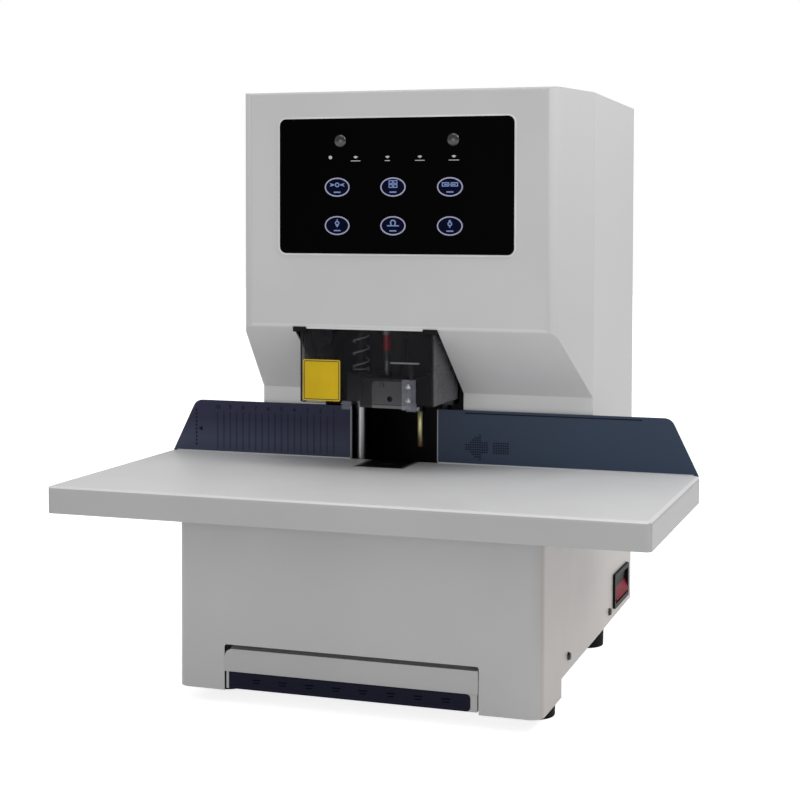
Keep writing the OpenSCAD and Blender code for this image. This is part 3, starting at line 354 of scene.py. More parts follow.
def tool_finishes():
    """Steel, brass and cast parts of the press, the drill and the rivet head."""
    return {
        "frame_iron": powder_coat("blackened_iron", (0.006, 0.006, 0.007), 0.5, gloss=0.15),
        "column_chrome": two_tone("ground_chrome", (0.42, 0.42, 0.44), (0.03, 0.03, 0.034),
                                  COLUMN_SHADE, rough=0.34, metal=1.0),
        "column_dark": bare_metal("shaded_chrome", (0.02, 0.02, 0.022), 0.4),
        "bearing_bronze": bare_metal("bearing_bronze", (0.2, 0.13, 0.06), 0.35),
        "rail_steel": bare_metal("rail_steel", (0.45, 0.46, 0.48), 0.32, brushed="X"),
        # near-white instead of steel: painted light on the springs' wire
        "spring_steel": plastic("spring_wire", (0.8, 0.8, 0.83), 0.3),
        "drill_steel": bare_metal("hardened_steel", (0.2, 0.2, 0.22), 0.34, brushed="Z"),
        "tool_brass": bare_metal("turned_brass", (0.4, 0.29, 0.12), 0.34, brushed="Z"),
        "pale_brass": bare_metal("tarnished_brass", BRASS, 0.34, brushed="Z"),
        # brass below that height, near black above it
        "brass_dark_on_top": two_tone("brass_dark_on_top", BRASS, (0.012, 0.012, 0.012), ROD_DARK_HEIGHT,
                                 rough=0.34, metal=1.0),
        "sleeve_red": two_tone("sleeve_red", (0.05, 0.05, 0.056), (0.42, 0.008, 0.03),
                               BIT_SLEEVE_STEP, 0.3),
        "tip_amber": plastic("tip_amber", (0.12, 0.05, 0.02), 0.4),
        "ceramic_white": plastic("ceramic_white", (0.5, 0.5, 0.48), 0.5),
        "foot_black": powder_coat("foot_black", (0.014, 0.014, 0.016), 0.4, gloss=0.3),
        "bracket_steel": powder_coat("bracket_steel", (0.17, 0.17, 0.18), 0.4, gloss=0.3),
        "sooted_steel": powder_coat("sooted_steel", (0.02, 0.02, 0.021), 0.5, gloss=0.3),
        "bright_strip": plastic("bright_strip", (0.95, 0.95, 0.95), 0.4),
        # grey top faces of the black pad
        "pad_lip": powder_coat("pad_lip", (0.15, 0.15, 0.155), 0.4),
        "pad_white": plastic("pad_white", (0.78, 0.78, 0.75), 0.55),
    }


ROCKER_SHADE_HEIGHT = 47.4   # the rocker is red below this height and dark above it, painted shade on its top half


def fitting_finishes():
    """Feet, screws, switch, vents, motors and boards."""
    return {
        "rubber_black": plastic("foot_rubber", (0.005, 0.005, 0.006), 0.7, 1500, 0.0001,
                                gloss=0.12),
        "sheet_zinc": bare_metal("zinc_sheet", (0.55, 0.56, 0.58), 0.42, grain=120),
        "screw_steel": bare_metal("screw_steel", (0.42, 0.42, 0.43), 0.34),
        "cover_screw": bare_metal("blackened_screw", (0.045, 0.043, 0.04), 0.4),
        "black_plastic": plastic("black_plastic", (0.006, 0.006, 0.007), 0.5, 2400, 0.00006,
                                 gloss=0.08),
        # painted shade: near-black sheets behind the rear vents
        "vent_shade_sheet": powder_coat("vent_shade_sheet", (0.008, 0.008, 0.009), 0.8, grain=900,
                                 depth=0.0003, gloss=0.1),
        # painted shade on the rocker's top half
        "rocker_red": two_tone("rocker_red", (0.2, 0.001, 0.014), (0.002, 0.002, 0.003),
                               ROCKER_SHADE_HEIGHT, 0.4, gloss=0.04),
        "board_green": plastic("circuit_board", (0.02, 0.12, 0.05), 0.4),
        "motor_grey": bare_metal("motor_casing", (0.12, 0.12, 0.13), 0.45, brushed="Z"),
        "solenoid_blue": powder_coat("solenoid_blue", (0.03, 0.05, 0.1), 0.4),
        "core_steel": powder_coat("varnished_core", (0.14, 0.11, 0.08), 0.5),
    }


def make_finishes():
    """One finish for each material slot of the record, and those of printed faces and of faces
    with painted light and shade.
    """
    finishes = {}
    for group in (casing_finishes, fence_finishes, panel_finishes, guard_finishes,
                  tool_finishes, fitting_finishes):
        finishes.update(group())
    return finishes


body_of = {node: body for body, nodes in frame["record"]["behaviour"]["bodies"].items()
           for node in nodes}
slot_of = {row["node"]: row["material_slot"] for row in frame["record"]["subparts"]}


def dress_nodes(finishes):
    """Puts each CAD node's finish on its object's slots."""
    special = {"rivet_heater": "sooted_steel", "rivet_head": "sooted_steel",
               "insulator_plate": "sooted_steel", "cover_screws": "cover_screw",
               "foot_stop_rod": "brass_dark_on_top"}
    for node, name in slot_of.items():
        for slot in frame["nodes"][node].material_slots:
            slot.link = "OBJECT"
            slot.material = finishes[special.get(node, name)]


# ---- Hand tools ----------------------------------------------------------------

def only(piece):
    """Selects one object and nothing else."""
    bpy.ops.object.select_all(action="DESELECT")
    piece.select_set(True)
    bpy.context.view_layer.objects.active = piece


def settle(piece):
    """Puts an object's place, turn and size into its mesh."""
    only(piece)
    bpy.ops.object.transform_apply(location=True, rotation=True, scale=True)


def apply_modifier(piece, kind, **settings):
    """Adds a modifier with these settings and applies it."""
    only(piece)
    modifier = piece.modifiers.new(kind.lower(), kind)
    for name, value in settings.items():
        setattr(modifier, name, value)
    bpy.ops.object.modifier_apply(modifier=modifier.name)


def ease_edges(piece, width, **settings):
    """Rounds the sharp edges; width is in mm."""
    apply_modifier(piece, "BEVEL", width=width * MM, segments=EASE_STEPS,
                   limit_method="ANGLE", **settings)


def merge_corners(piece):
    """Joins loose triangles or walls at their common corners; leaves the piece in edit mode."""
    only(piece)
    bpy.ops.object.mode_set(mode="EDIT")
    bpy.ops.mesh.select_all(action="SELECT")
    bpy.ops.mesh.remove_doubles(threshold=MERGE_GAP)


def merged_copy(node, finish, angle=EASE_ANGLE):
    """A copy of a CAD node with its triangles joined and its curves smooth, in its place."""
    piece = new_object(node + "_eased", frame["nodes"][node].data.copy())
    piece.data.materials.clear()
    piece.data.materials.append(finish)
    merge_corners(piece)
    bpy.ops.mesh.dissolve_limited(angle_limit=FLAT_ANGLE)
    bpy.ops.object.mode_set(mode="OBJECT")
    if piece.data.has_custom_normals:
        bpy.ops.mesh.customdata_custom_splitnormals_clear()
    bpy.ops.object.shade_smooth_by_angle(angle=angle)
    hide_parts(node)
    return piece


def eased_copy(node, finish, width=0.35):
    """A merged copy of a CAD node with eased edges, on the node's body."""
    piece = merged_copy(node, finish)
    ease_edges(piece, width, angle_limit=EASE_ANGLE)
    apply_modifier(piece, "WEIGHTED_NORMAL", keep_sharp=True)
    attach(piece, body_of[node])
    return piece


def shorten_springs(finishes):
    """The foot's springs: one merged copy with smooth curves, its place put into its mesh."""
    springs = merged_copy("press_springs", finishes["spring_steel"], SPRING_ANGLE)
    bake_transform(springs)


def copied(piece, name, shift, body):
    """A copy with its own mesh, moved by shift in mm."""
    twin = new_object(name, piece.data.copy())
    twin.location = [step * MM for step in shift]
    settle(twin)
    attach(twin, body)


def tone_faces(piece, finish, chosen):
    """Gives the chosen faces a second finish; chosen reads a face's centre and normal."""
    piece.data.materials.append(finish)
    index = len(piece.data.materials) - 1
    for face in piece.data.polygons:
        if chosen(face.center, face.normal):
            face.material_index = index


def sideways(share):
    """Chooses the faces that look to the left or right."""
    return lambda centre, normal: abs(normal.x) > share


def above(height):
    """Chooses the faces whose centres lie above a height in mm."""
    return lambda centre, normal: centre.z > height * MM


def rim_faces(centre, normal):
    """Chooses the faces of a thin plate that look neither to the front nor to the back."""
    return abs(normal.y) < 0.9


HEAD_SKIN_Y = -44.6   # everything in front of this is the head's outer skin
SKIN_LOW = 200        # below this height the head's front faces can be inner ones too
LIFT = 0.05           # a face looks out from this far above itself
LOOK_FAR = 500        # and an inner one sees another face within this length


def blacken_inside(covers, finish):
    """Gives the faces that look into the covers' common hollow a second finish: near-black painted
    shade.
    """
    mesh = bmesh.new()
    for cover in covers:
        mesh.from_mesh(cover.data)
    tree = BVHTree.FromBMesh(mesh)
    mesh.free()
    for cover in covers:
        tone_faces(cover, finish, lambda centre, normal:
                   (centre.y > HEAD_SKIN_Y * MM or centre.z < SKIN_LOW * MM)
                   and tree.ray_cast(centre + normal * LIFT * MM, normal, LOOK_FAR * MM)[0]
                   is not None)


# ---- Printed marks --------------------------------------------------------------

def oval(x, z, wide, high, count=48):
    """Outline of an ellipse round a centre."""
    return [(x + wide / 2 * math.cos(2 * math.pi * k / count),
             z + high / 2 * math.sin(2 * math.pi * k / count)) for k in range(count)]


def ring(x, z, wide, high, line):
    """An oval line; line is its width."""
    return [oval(x, z, wide, high), oval(x, z, wide - 2 * line, high - 2 * line)]


def bar(x0, z0, x1, z1):
    """Outline of a rectangle between two corners."""
    return [(x0, z0), (x1, z0), (x1, z1), (x0, z1)]


def frame_bar(x0, z0, x1, z1, line):
    """A rectangle drawn by a line inside its corners."""
    return [bar(x0, z0, x1, z1), bar(x0 + line, z0 + line, x1 - line, z1 - line)]


def mirrored(outline, x):
    """The outline's mirror image about an upright line at x."""
    return [(2 * x - across, z) for across, z in outline]


def both_halves(half, x):
    """A closed outline from its right half, which runs upwards."""
    return half + mirrored(half, x)[::-1]


def rounded(x0, z0, x1, z1, radius, count=8):
    """Outline of a rectangle with round corners."""
    middles = ((x1 - radius, z1 - radius, 0), (x0 + radius, z1 - radius, 90),
               (x0 + radius, z0 + radius, 180), (x1 - radius, z0 + radius, 270))
    return [(x + radius * math.cos(math.radians(turn + 90 * k / count)),
             z + radius * math.sin(math.radians(turn + 90 * k / count)))
            for x, z, turn in middles for k in range(count + 1)]


def front_of(node, grow=0.0):
    """Left, low, right and high edge of a node seen from the front, moved out by grow."""
    low, high = corners(node)
    return low[0] - grow, low[2] - grow, high[0] + grow, high[2] + grow


def printed(name, groups, front, finish, body, thick=0.12):
    """Print of closed outlines in mm, seen from the front: filled flat curves made one mesh.

    Outlines of one group don't cross, and an outline inside another is a hole.
    """
    parts = []
    for group in groups:
        data = bpy.data.curves.new(name, "CURVE")
        data.dimensions = "2D"
        data.fill_mode = "BOTH"
        data.extrude = thick / 2 * MM
        for outline in group:
            spline = data.splines.new("POLY")
            spline.points.add(len(outline) - 1)
            for point, (x, z) in zip(spline.points, outline):
                point.co = (x * MM, z * MM, 0, 1)
            spline.use_cyclic_u = True
        parts.append(new_object(name, data))
    return stand_up(parts, name, front, finish, body, thick)


def stand_up(parts, name, front, finish, body, thick):
    """Makes curves or texts one mesh, turns it to face the front and lays it on a face."""
    bpy.ops.object.select_all(action="DESELECT")
    for part in parts:
        part.select_set(True)
    bpy.context.view_layer.objects.active = parts[0]
    bpy.ops.object.convert(target="MESH")
    if len(parts) > 1:
        bpy.ops.object.join()
    piece = bpy.context.view_layer.objects.active
    piece.name = name
    settle(piece)
    piece.rotation_euler = (math.pi / 2, 0, 0)
    piece.location = (0, (front - thick / 2) * MM, 0)
    settle(piece)
    piece.data.materials.clear()
    piece.data.materials.append(finish)
    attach(piece, body)
    return piece


def lettered(name, words, front, size, finish, body, thick=0.12):
    """Small figures such as a scale's numbers; words is a list of (text, x, z) in mm."""
    parts = []
    for text, x, z in words:
        bpy.ops.object.text_add(location=(x * MM, z * MM, 0))
        part = bpy.context.object
        part.data.body = text
        part.data.size = size * MM
        part.data.align_x = "CENTER"
        part.data.align_y = "CENTER"
        part.data.extrude = thick / 2 * MM
        parts.append(part)
    return stand_up(parts, name, front, finish, body, thick)


panel_low, panel_high = corners("control_panel")
PANEL_Z = (panel_low[2] + panel_high[2]) / 2
PANEL_FRONT, HEAD_FRONT = panel_low[1], panel_high[1]
KEY_X = (-43.8, -1.0, 41.7)
KEY_LOW, KEY_HIGH = PANEL_Z - 28.6, PANEL_Z - 0.8
KEY_WIDE, KEY_TALL = 17.6, 12.2


def grip_sign(x, z):
    """Two arrows towards a disc: grip the stack."""
    arrow = [(x - 5.8, z + 1.3), (x - 2.2, z + 0.3), (x - 2.2, z - 0.3), (x - 5.8, z - 1.3),
             (x - 4.7, z)]
    return [ring(x, z, 3.6, 3.4, 0.8), [arrow], [mirrored(arrow, x)]]


def program_sign(x, z):
    """Four squares: program."""
    return [frame_bar(x + a, z + b, x + a + 3.1, z + b + 2.6, 0.6)
            for a in (-3.3, 0.2) for b in (-2.3, 0.6)]


def rivet_sign(x, z):
    """Two linked plates: rivet."""
    plate = frame_bar(x - 6, z - 1.5, x - 0.6, z + 1.5, 0.7)
    return [plate, [mirrored(line, x) for line in plate],
            [bar(x - 4.2, z - 0.35, x + 4.2, z + 0.35)]]


def lower_sign(x, z):
    """Ring with a stem and a down arrow: lower the tool."""
    return [ring(x, z + 0.2, 3.4, 3.2, 0.8), [bar(x - 0.4, z + 1.7, x + 0.4, z + 3)],
            [[(x - 1.3, z - 1.4), (x + 1.3, z - 1.4), (x, z - 2.9)]]]


def clean_sign(x, z):
    """Arch on a base line: clean out."""
    arch = [(x + 4.6, z - 2), (x + 4.6, z - 1.2), (x + 1.9, z - 1.2), (x + 2.3, z + 1),
            (x + 1.2, z + 2.7)]
    opening = [(x + 0.9, z - 1.2), (x + 1.3, z + 0.9), (x + 0.7, z + 1.8)]
    return [[both_halves(arch, x), both_halves(opening, x)]]


def raise_sign(x, z):
    """Ring with a stem and an up arrow: raise the tool."""
    return [ring(x, z - 0.2, 3.4, 3.2, 0.8), [bar(x - 0.4, z - 2.9, x + 0.4, z - 1.8)],
            [[(x - 1.3, z + 1.5), (x, z + 3), (x + 1.3, z + 1.5)]]]


def lamp_mark(x, z, half):
    """A small lens and the line under it; half is half the line's length."""
    lens = [(x - 1.7, z + 0.5), (x + 1.7, z + 0.5), (x + 0.9, z - 0.5), (x - 0.9, z - 0.5)]
    return [[lens], [bar(x - half, z - 2.9, x + half, z - 2.4)]]


def print_panel(finishes):
    """Key fills, signs and lamp marks of the touch panel, all of them generic."""
    keys = [(x, z) for x in KEY_X for z in (KEY_LOW, KEY_HIGH)]
    fills = [[oval(x, z, KEY_WIDE, KEY_TALL)] for x, z in keys]
    printed("key_fills", fills, PANEL_FRONT, finishes["key_fill"], "machine", 0.1)
    left, middle, right = KEY_X
    high, low = KEY_HIGH + 1.7, KEY_LOW + 1.6
    signs = (grip_sign(left, high) + program_sign(middle, high) + rivet_sign(right, high)
             + lower_sign(left, low) + clean_sign(middle, low) + raise_sign(right, low))
    signs += [[bar(x - 2.6, z - 4.1, x + 2.6, z - 3.2)] for x, z in keys]
    printed("key_signs", signs, PANEL_FRONT - 0.06, finishes["key_sign"],
            "machine", 0.16)
    marks = []
    for x, half in ((-29.5, 3.6), (-5.2, 1.9), (19.3, 3.6), (44.6, 3.8)):
        marks += lamp_mark(x, PANEL_Z + 20.8, half)
    printed("lamp_marks", marks, PANEL_FRONT, finishes["lamp_lens"], "machine", 0.5)


def frame_panel(finishes):
    """Painted highlight round the panel film as a pale rim, border line of the bare plate, folds
    of the guard.
    """
    # painted highlight round the panel film
    printed("panel_rim_painted_highlight", [[rounded(*front_of("control_panel", 1.2), 6.2),
                           rounded(*front_of("control_panel", 0.05), 5.05)]],
            HEAD_FRONT, finishes["panel_edge"], "machine", 0.5)
    printed("plate_border", [[rounded(*front_of("guard_plate", -0.9), 1.2),
                              rounded(*front_of("guard_plate", -1.5), 0.8)]],
            corners("guard_plate")[0][1], finishes["plate_edge"], "machine", 0.08)
    left, low, right, high = front_of("guard")
    low, high = low + 0.5, high - 4.3
    printed("guard_folds", [[bar(left + 0.1, low, left + 1.4, high)],
                            [bar(right - 1.7, low, right - 0.2, high)]],
            corners("guard")[0][1], finishes["guard_edge"], "machine", 0.1)


TABLE_TOP = corners("worktable")[1][2]
FENCE_FRONT = corners("fence_left")[0][1]
FENCE_TOP = corners("fence_left")[1][2]
FENCE_PRINT = 0.1   # thickness of the prints on the fence


def on_fence(name, groups, finish):
    """A print on the front of the fence."""
    printed(name, groups, FENCE_FRONT, finish, "machine", FENCE_PRINT)


def print_scale(finishes):
    """Stop lines on the left half, each second one numbered, and the pointer beside them."""
    count, pitch, half = 19, 5.45, 0.5
    line_x = [-71.5 - pitch * k for k in range(count)]
    low, high = TABLE_TOP + 2.5, TABLE_TOP + 32
    on_fence("fence_scale", [[bar(x - half, low, x + half, high)] for x in line_x],
             finishes["fence_line"])
    numbers = [(str(k + 1), x, TABLE_TOP + 35.6) for k, x in enumerate(line_x[::2])]
    lettered("fence_numbers", numbers, FENCE_FRONT, 4.8, finishes["fence_print"],
             "machine", FENCE_PRINT)
    dashes = [[bar(-188.4, z, -187.2, z + 1.6)] for z in range(158, 186, 3)]
    arrow = [(-186, 171.2), (-182.6, 173.2), (-182.6, 169.2)]
    on_fence("fence_pointer", dashes + [[arrow]], finishes["fence_print"])


def print_fence_edges(finishes):
    """Painted highlights along the inner edges of both halves, and a painted highlight where they
    meet the table.
    """
    left, _, left_end, _ = front_of("fence_left")
    right_start, _, right, _ = front_of("fence_right")
    low, high = TABLE_TOP + 0.2, FENCE_TOP - 0.4
    gap, trim = 0.1, 0.85
    # painted highlights along the gap edges
    on_fence("fence_trim_painted_highlight", [[bar(left_end - trim, low, left_end - gap, high)],
                            [bar(right_start + gap, low, right_start + trim, high)]],
             finishes["fence_edge"])
    # painted highlight where the fence meets the table
    low, high, inset = TABLE_TOP + 0.02, TABLE_TOP + 0.8, 3.5
    on_fence("fence_base", [[bar(left + inset, low, left_end - gap, high)],
                            [bar(right_start + gap, low, right - inset, high)]],
             finishes["fence_base"])


def print_arrow(finishes):
    """Line along the top of the right half, and a dotted arrow with a dotted square behind it."""
    step, dot, middle = 1.8, 1.05, TABLE_TOP + 12.8
    columns = [(k, k * 3 // 4 + 1) for k in range(7)]           # the arrow's head
    columns += [(k, 2) for k in range(7, 10)]                   # its shaft
    columns += [(k, 2) for k in range(12, 19)]                  # the square
    marks = [[bar(34, FENCE_TOP - 2.5, 168, FENCE_TOP - 1.7)]]
    for k, tall in columns:
        for row in range(-tall, tall + 1):
            x, z = 34.5 + k * step, middle + row * step
            marks.append([bar(x, z, x + dot, z + dot)])
    on_fence("fence_arrow", marks, finishes["fence_print"])


def print_strip(finishes):
    """Row of small generic marks on the drawer's strip."""
    first, pitch, count = -74, 19.6, 8
    marks = []
    for x in [first + pitch * k for k in range(count)]:
        marks.append([bar(x, 18.4, x + 6.2, 19.3), bar(x + 0.6, 16.4, x + 5.4, 17.2)])
    printed("strip_marks", marks, corners("drawer_strip")[0][1], finishes["strip_print"],
            "drawer", 0.08)


# ---- Small fittings -------------------------------------------------------------

def turned(name, x, y, profile, finish, body, count=40, front=None):
    """Round piece on an upright axis; profile is a list of (radius, height) in mm, going up.

    With front, which is (x, y, z) in mm, the piece is laid down there and points to the front.
    """
    radius, height = profile[0]
    bpy.ops.object.select_all(action="DESELECT")
    bpy.ops.mesh.primitive_circle_add(vertices=count, radius=radius * MM, fill_type="NGON",
                                      location=(x * MM, y * MM, height * MM))
    piece = bpy.context.object
    settle(piece)
    bpy.ops.object.mode_set(mode="EDIT")
    bpy.ops.mesh.select_all(action="SELECT")
    for next_radius, next_height in profile[1:]:
        bpy.ops.mesh.extrude_region_move(
            TRANSFORM_OT_translate={"value": (0, 0, (next_height - height) * MM)})
        share = next_radius / radius
        bpy.ops.transform.resize(value=(share, share, 1))
        radius, height = next_radius, next_height
    bpy.ops.mesh.select_all(action="SELECT")
    bpy.ops.mesh.normals_make_consistent(inside=False)
    bpy.ops.object.mode_set(mode="OBJECT")
    if front:
        piece.rotation_euler = (math.pi / 2, 0, 0)
        piece.location = [place * MM for place in front]
        settle(piece)
    piece.name = name
    piece.data.materials.append(finish)
    bpy.ops.object.shade_smooth_by_angle(angle=ROUND_ANGLE)
    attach(piece, body)
    return piece


def block(name, low, high, finish, body, ease, sunk):
    """Small moulded block between two corners in mm: eased edges and a sunk front.

    The rim round the sunk front is three times as wide as the front is deep.
    """
    size = [(b - a) * MM for a, b in zip(low, high)]
    centre = [(a + b) / 2 * MM for a, b in zip(low, high)]
    bpy.ops.object.select_all(action="DESELECT")
    bpy.ops.mesh.primitive_cube_add(size=1, location=centre)
    piece = bpy.context.object
    piece.name = name
    piece.scale = size
    settle(piece)
    bpy.ops.object.mode_set(mode="EDIT")
    bpy.ops.mesh.select_mode(type="FACE")
    bpy.ops.mesh.select_all(action="DESELECT")
    bpy.ops.object.mode_set(mode="OBJECT")
    for face in piece.data.polygons:
        face.select = face.normal.y < -0.9
    bpy.ops.object.mode_set(mode="EDIT")
    bpy.ops.mesh.inset(thickness=3 * sunk * MM, depth=-sunk * MM)
    bpy.ops.object.mode_set(mode="OBJECT")
    ease_edges(piece, ease)
    bpy.ops.object.shade_smooth_by_angle(angle=ROUND_ANGLE)
    piece.data.materials.append(finish)
    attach(piece, body)
    return piece


def fit_guard_details(finishes):
    """Corner clips over the guard's top, and the tall buffer with its two screws."""
    clip = block("guard_clip_left", (-78.8, -46.4, 254.6), (-68.5, -43.2, 258.1),
                 finishes["black_plastic"], "machine", ease=0.25, sunk=0.3)
    copied(clip, "guard_clip_right", (100.2, 0, 0), "machine")
    block("tall_buffer", (5.2, -45.2, 199.5), (15.6, -43.3, 221.5), finishes["clear_plastic"],
          "machine", ease=0.3, sunk=0.4)
    hollow_head = [(2.1, 0), (2.1, 0.7), (1.5, 1.25), (0.9, 1.3), (0.7, 0.7)]
    screw = turned("buffer_screw_low", 0, 0, hollow_head, finishes["buffer_screw"],
                   "machine", count=24, front=(10.4, -45.15, 206.5))
    copied(screw, "buffer_screw_high", (0, 0, 10), "machine")


def fit_stop_rod(finishes):
    """Brass sleeve, white cap and amber tip of the thin rod beside the foot."""
    x, y = -3.8, 27.75
    turned("stop_sleeve", x, y, [(2.1, 166.5), (2.4, 167), (2.4, 191.2), (2.1, 191.6)],
           finishes["pale_brass"], "press_foot")
    turned("stop_cap", x - 1.5, y - 3, [(1.1, 191.3), (1.6, 191.7), (1.6, 194.4), (1.1, 194.8)],
           finishes["ceramic_white"], "press_foot", count=24)
    turned("stop_tip", x, y, [(1.7, 163.6), (2.2, 164.3), (2.2, 166.4)], finishes["tip_amber"],
           "press_foot")


def screen_vents(finishes):
    """Near-black sheets of painted shade on the inner side of the rear vents, so that no daylight
    shows through.
    """
    left, right = -96, -24
    back = corners("rear_cover")[0][1]
    front = back - 1.55
    shade_sheet = block("vent_shade_sheet_left", (left, front, 294), (right, back, 383),
                 finishes["vent_shade_sheet"], "machine", ease=0.3, sunk=0.5)
    copied(shade_sheet, "vent_shade_sheet_right", (-left - right, 0, 0), "machine")
    block("vent_shade_sheet_low", (left, front, 64), (right, back, 120),
          finishes["vent_shade_sheet"], "machine", ease=0.3, sunk=0.5)


def face_drawer(finishes):
    """Flat face of the drawer, flush with the casing round it, round at its left corner."""
    left, _, right, top = front_of("drawer")
    left, right, top = left + 2, right - 2, top - 0.7
    low = corners("drawer_strip")[1][2] + 0.3
    radius, thick, gap = 6, 1.2, 0.05
    outline = [(left, low), (right, low), (right, top), (left + radius, top)]
    outline += [(left + radius * (1 - math.sin(math.radians(turn))),
                 top - radius * (1 - math.cos(math.radians(turn)))) for turn in range(10, 91, 10)]
    face = printed("drawer_face", [[outline]], corners("drawer")[0][1] - gap,
                   finishes["drawer_paint"], "drawer", thick)
    merge_corners(face)
    bpy.ops.mesh.normals_make_consistent(inside=False)
    bpy.ops.object.mode_set(mode="OBJECT")
    ease_edges(face, 0.35, angle_limit=EASE_ANGLE)
    bpy.ops.object.shade_smooth_by_angle(angle=EASE_ANGLE)


# ---- Eased copies of the nodes that show ------------------------------------------

CHIN_TOP = 260      # the sloped chin and the lip below it lie under this height


def dress_covers(finishes):
    """The covers, each with painted light and shade on its sides and sloped faces, and near-black
    painted shade where they face each other.
    """
    # the upper cover carries painted light, lighter towards the top
    upper = eased_copy("upper_cover", finishes["side_paint"])
    head = eased_copy("head_cover", finishes["casing_paint"])
    rear = eased_copy("rear_cover", finishes["casing_paint"])
    lower = eased_copy("lower_cover", finishes["lower_paint"])
    # painted light on the head's slanted cheeks
    tone_faces(head, finishes["chamfer_paint"], lambda centre, normal:
               abs(normal.x) > 0.25 and abs(normal.z) < 0.3)
    # painted light on the chin and the neck's front
    tone_faces(head, finishes["chin_paint"], lambda centre, normal:
               centre.z < CHIN_TOP * MM and (normal.z < -0.15 or normal.y < -0.8))
    # near-black painted shade inside the covers
    blacken_inside([upper, head, rear], finishes["casing_inside"])
    # painted shade on the lower cover's sides
    tone_faces(lower, finishes["lower_side"], sideways(0.8))
    blacken_inside([lower], finishes["casing_inside"])


def dress_table(finishes):
    """Worktable with painted shade on its rim and ends, drawer box, and the pad with grey top
    faces.
    """
    table = eased_copy("worktable", finishes["worktable_paint"])
    # painted shade on the worktable's rim, and darker still on its ends
    tone_faces(table, finishes["worktable_rim"], lambda centre, normal: normal.z < 0.6)
    tone_faces(table, finishes["worktable_side"], sideways(0.8))
    eased_copy("drawer", finishes["drawer_paint"])
    pad = eased_copy("pad_insert", finishes["black_plastic"], 0.15)
    tone_faces(pad, finishes["pad_lip"], above(TABLE_TOP - 0.2))


def dress_fence(finishes):
    """Both halves of the fence, with painted highlights on the edges at the gap between them."""
    gap_left, gap_right = corners("fence_left")[1][0], corners("fence_right")[0][0]
    reach = 0.75
    for node, name in (("fence_left", "fence_paint"), ("fence_right", "fence_right")):
        # painted highlights on the side faces at the gap
        tone_faces(eased_copy(node, finishes[name]), finishes["fence_edge"],
                   lambda centre, normal: abs(normal.x) > 0.3
                   and (gap_left - reach) * MM < centre.x < (gap_right + reach) * MM)


def dress_tools(finishes):
    """Columns, press foot, its springs and its bracket."""
    columns = eased_copy("guide_columns", finishes["column_chrome"], 0.2)
    tone_faces(columns, finishes["column_dark"], lambda centre, normal: centre.x > -10 * MM)
    eased_copy("press_foot", finishes["foot_black"], 0.2)
    shorten_springs(finishes)
    bracket = eased_copy("foot_bracket", finishes["bracket_steel"], 0.2)
    tone_faces(bracket, finishes["bright_strip"], above(corners("foot_bracket")[1][2] - 1.6))


def dress_fittings(finishes):
    """Domes, strip, feet, switch and inlet."""
    eased_copy("indicator_domes", finishes["dome_plastic"], 0.1)
    for node in ("drawer_strip", "rubber_feet", "switch_housing", "power_inlet", "rocker"):
        eased_copy(node, finishes[slot_of[node]], 0.25)


def dress_guard(finishes):
    """Panel film with painted highlights on its cut edges, bare plate with its cut edges, and
    guard with its cut edges and a painted reflection on its side walls.
    """
    # painted highlight on the panel film's rim faces
    tone_faces(eased_copy("control_panel", finishes["panel_black"], 0.3),
               finishes["panel_edge"], rim_faces)
    tone_faces(eased_copy("guard_plate", finishes["plate_yellow"], 0.1),
               finishes["plate_edge"], rim_faces)
    guard = eased_copy("guard", finishes["guard_smoke"], 0.3)
    # painted reflection on the guard's side walls
    tone_faces(guard, finishes["guard_wing_painted_reflection"], sideways(0.7))
    tone_faces(guard, finishes["guard_edge"], lambda centre, normal: abs(normal.z) > 0.3)


# ---- Floor and light ---------------------------------------------------------

WHITE = (1, 1, 1, 1)


def add_floor():
    """White studio floor that keeps the machine's shadow."""
    half = 6
    mesh = bpy.data.meshes.new("studio_floor")
    mesh.from_pydata([(-half, -half, 0), (half, -half, 0), (half, half, 0), (-half, half, 0)],
                     [], [(0, 1, 2, 3)])
    floor = new_object("studio_floor", mesh)
    material, tree, shader = new_material("studio_white")
    shader.inputs["Base Color"].default_value = (0.8, 0.8, 0.8, 1)
    shader.inputs["Roughness"].default_value = 0.9
    shader.inputs["Specular IOR Level"].default_value = 0.1
    shader.inputs["Emission Color"].default_value = WHITE
    lit_by_view(tree, shader.inputs["Emission Strength"], 0.78)
    floor.data.materials.append(material)


def maths(tree, operation, first, second):
    """Output of a Math node on two sockets, or on a socket and a number."""
    node = tree.nodes.new("ShaderNodeMath")
    node.operation = operation
    tree.links.new(first, node.inputs[0])
    if isinstance(second, float):
        node.inputs[1].default_value = second
    else:
        tree.links.new(second, node.inputs[1])
    return node.outputs[0]


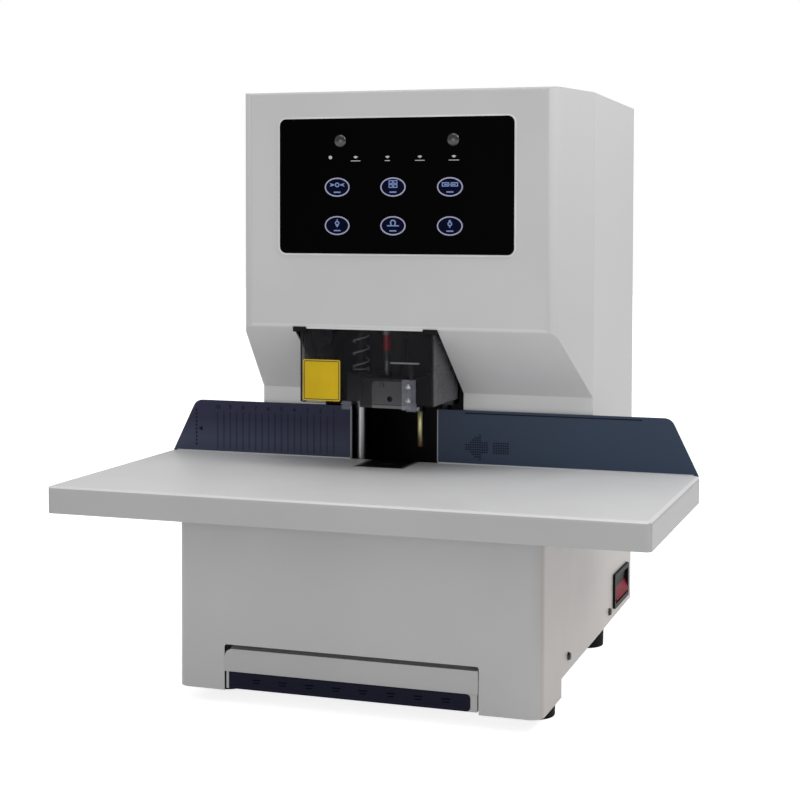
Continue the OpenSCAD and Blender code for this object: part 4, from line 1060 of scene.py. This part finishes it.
def lit_by_view(tree, socket, strength):
    """Strength for camera, glossy and transmission rays, and none for the light on the object."""
    path = tree.nodes.new("ShaderNodeLightPath")
    seen = maths(tree, "MAXIMUM", path.outputs["Is Camera Ray"], path.outputs["Is Glossy Ray"])
    seen = maths(tree, "MAXIMUM", seen, path.outputs["Is Transmission Ray"])
    tree.links.new(maths(tree, "MULTIPLY", seen, strength), socket)


def background(tree, strength):
    """White background of a given strength."""
    node = tree.nodes.new("ShaderNodeBackground")
    node.inputs["Color"].default_value = WHITE
    node.inputs["Strength"].default_value = strength
    return node.outputs[0]


def add_world():
    """Plain light on the machine, and pure white where the camera looks past it."""
    world = bpy.data.worlds.new("studio")
    bpy.context.scene.world = world
    world.use_nodes = True
    tree = world.node_tree
    tree.nodes.remove(tree.nodes["Background"])
    path = tree.nodes.new("ShaderNodeLightPath")
    seen = maths(tree, "MAXIMUM", path.outputs["Is Camera Ray"],
                 path.outputs["Is Transmission Ray"])
    mix = tree.nodes.new("ShaderNodeMixShader")
    tree.links.new(seen, mix.inputs["Fac"])
    tree.links.new(background(tree, 0.53), mix.inputs[1])
    tree.links.new(background(tree, 1.0), mix.inputs[2])
    tree.links.new(mix.outputs[0], tree.nodes["World Output"].inputs["Surface"])


def add_softbox(name, place, aim, size, power):
    """Rectangular lamp at a place, turned to its aim; lengths in metres, power in watts."""
    data = bpy.data.lights.new(name, "AREA")
    data.shape = "RECTANGLE"
    data.size, data.size_y = size
    data.energy = power
    light = new_object(name, data)
    light.location = place
    light.rotation_euler = (Vector(aim) - Vector(place)).to_track_quat("-Z", "Y").to_euler()


def add_lights():
    """Three softboxes: from the right, from the front and from above."""
    add_softbox("right_softbox", (1.1, -0.2, 1.35), (0.13, 0.05, 0.35), (0.7, 0.7), 7.8)
    add_softbox("front_softbox", (-0.2, -2.4, 0.45), (0, 0, 0.25), (1.4, 0.8), 7)
    add_softbox("top_softbox", (0.1, -0.3, 2.4), (0, 0, 0.2), (1.6, 1.6), 13)


add_camera()
finishes = make_finishes()
dress_nodes(finishes)
for make in (dress_covers, dress_table, dress_fence, dress_tools, dress_fittings, dress_guard,
             print_panel, frame_panel, fit_guard_details, fit_stop_rod, screen_vents,
             print_scale, print_fence_edges, print_arrow, print_strip, face_drawer):
    make(finishes)
add_floor()
add_world()
add_lights()
bpy.context.scene.view_settings.view_transform = "Standard"
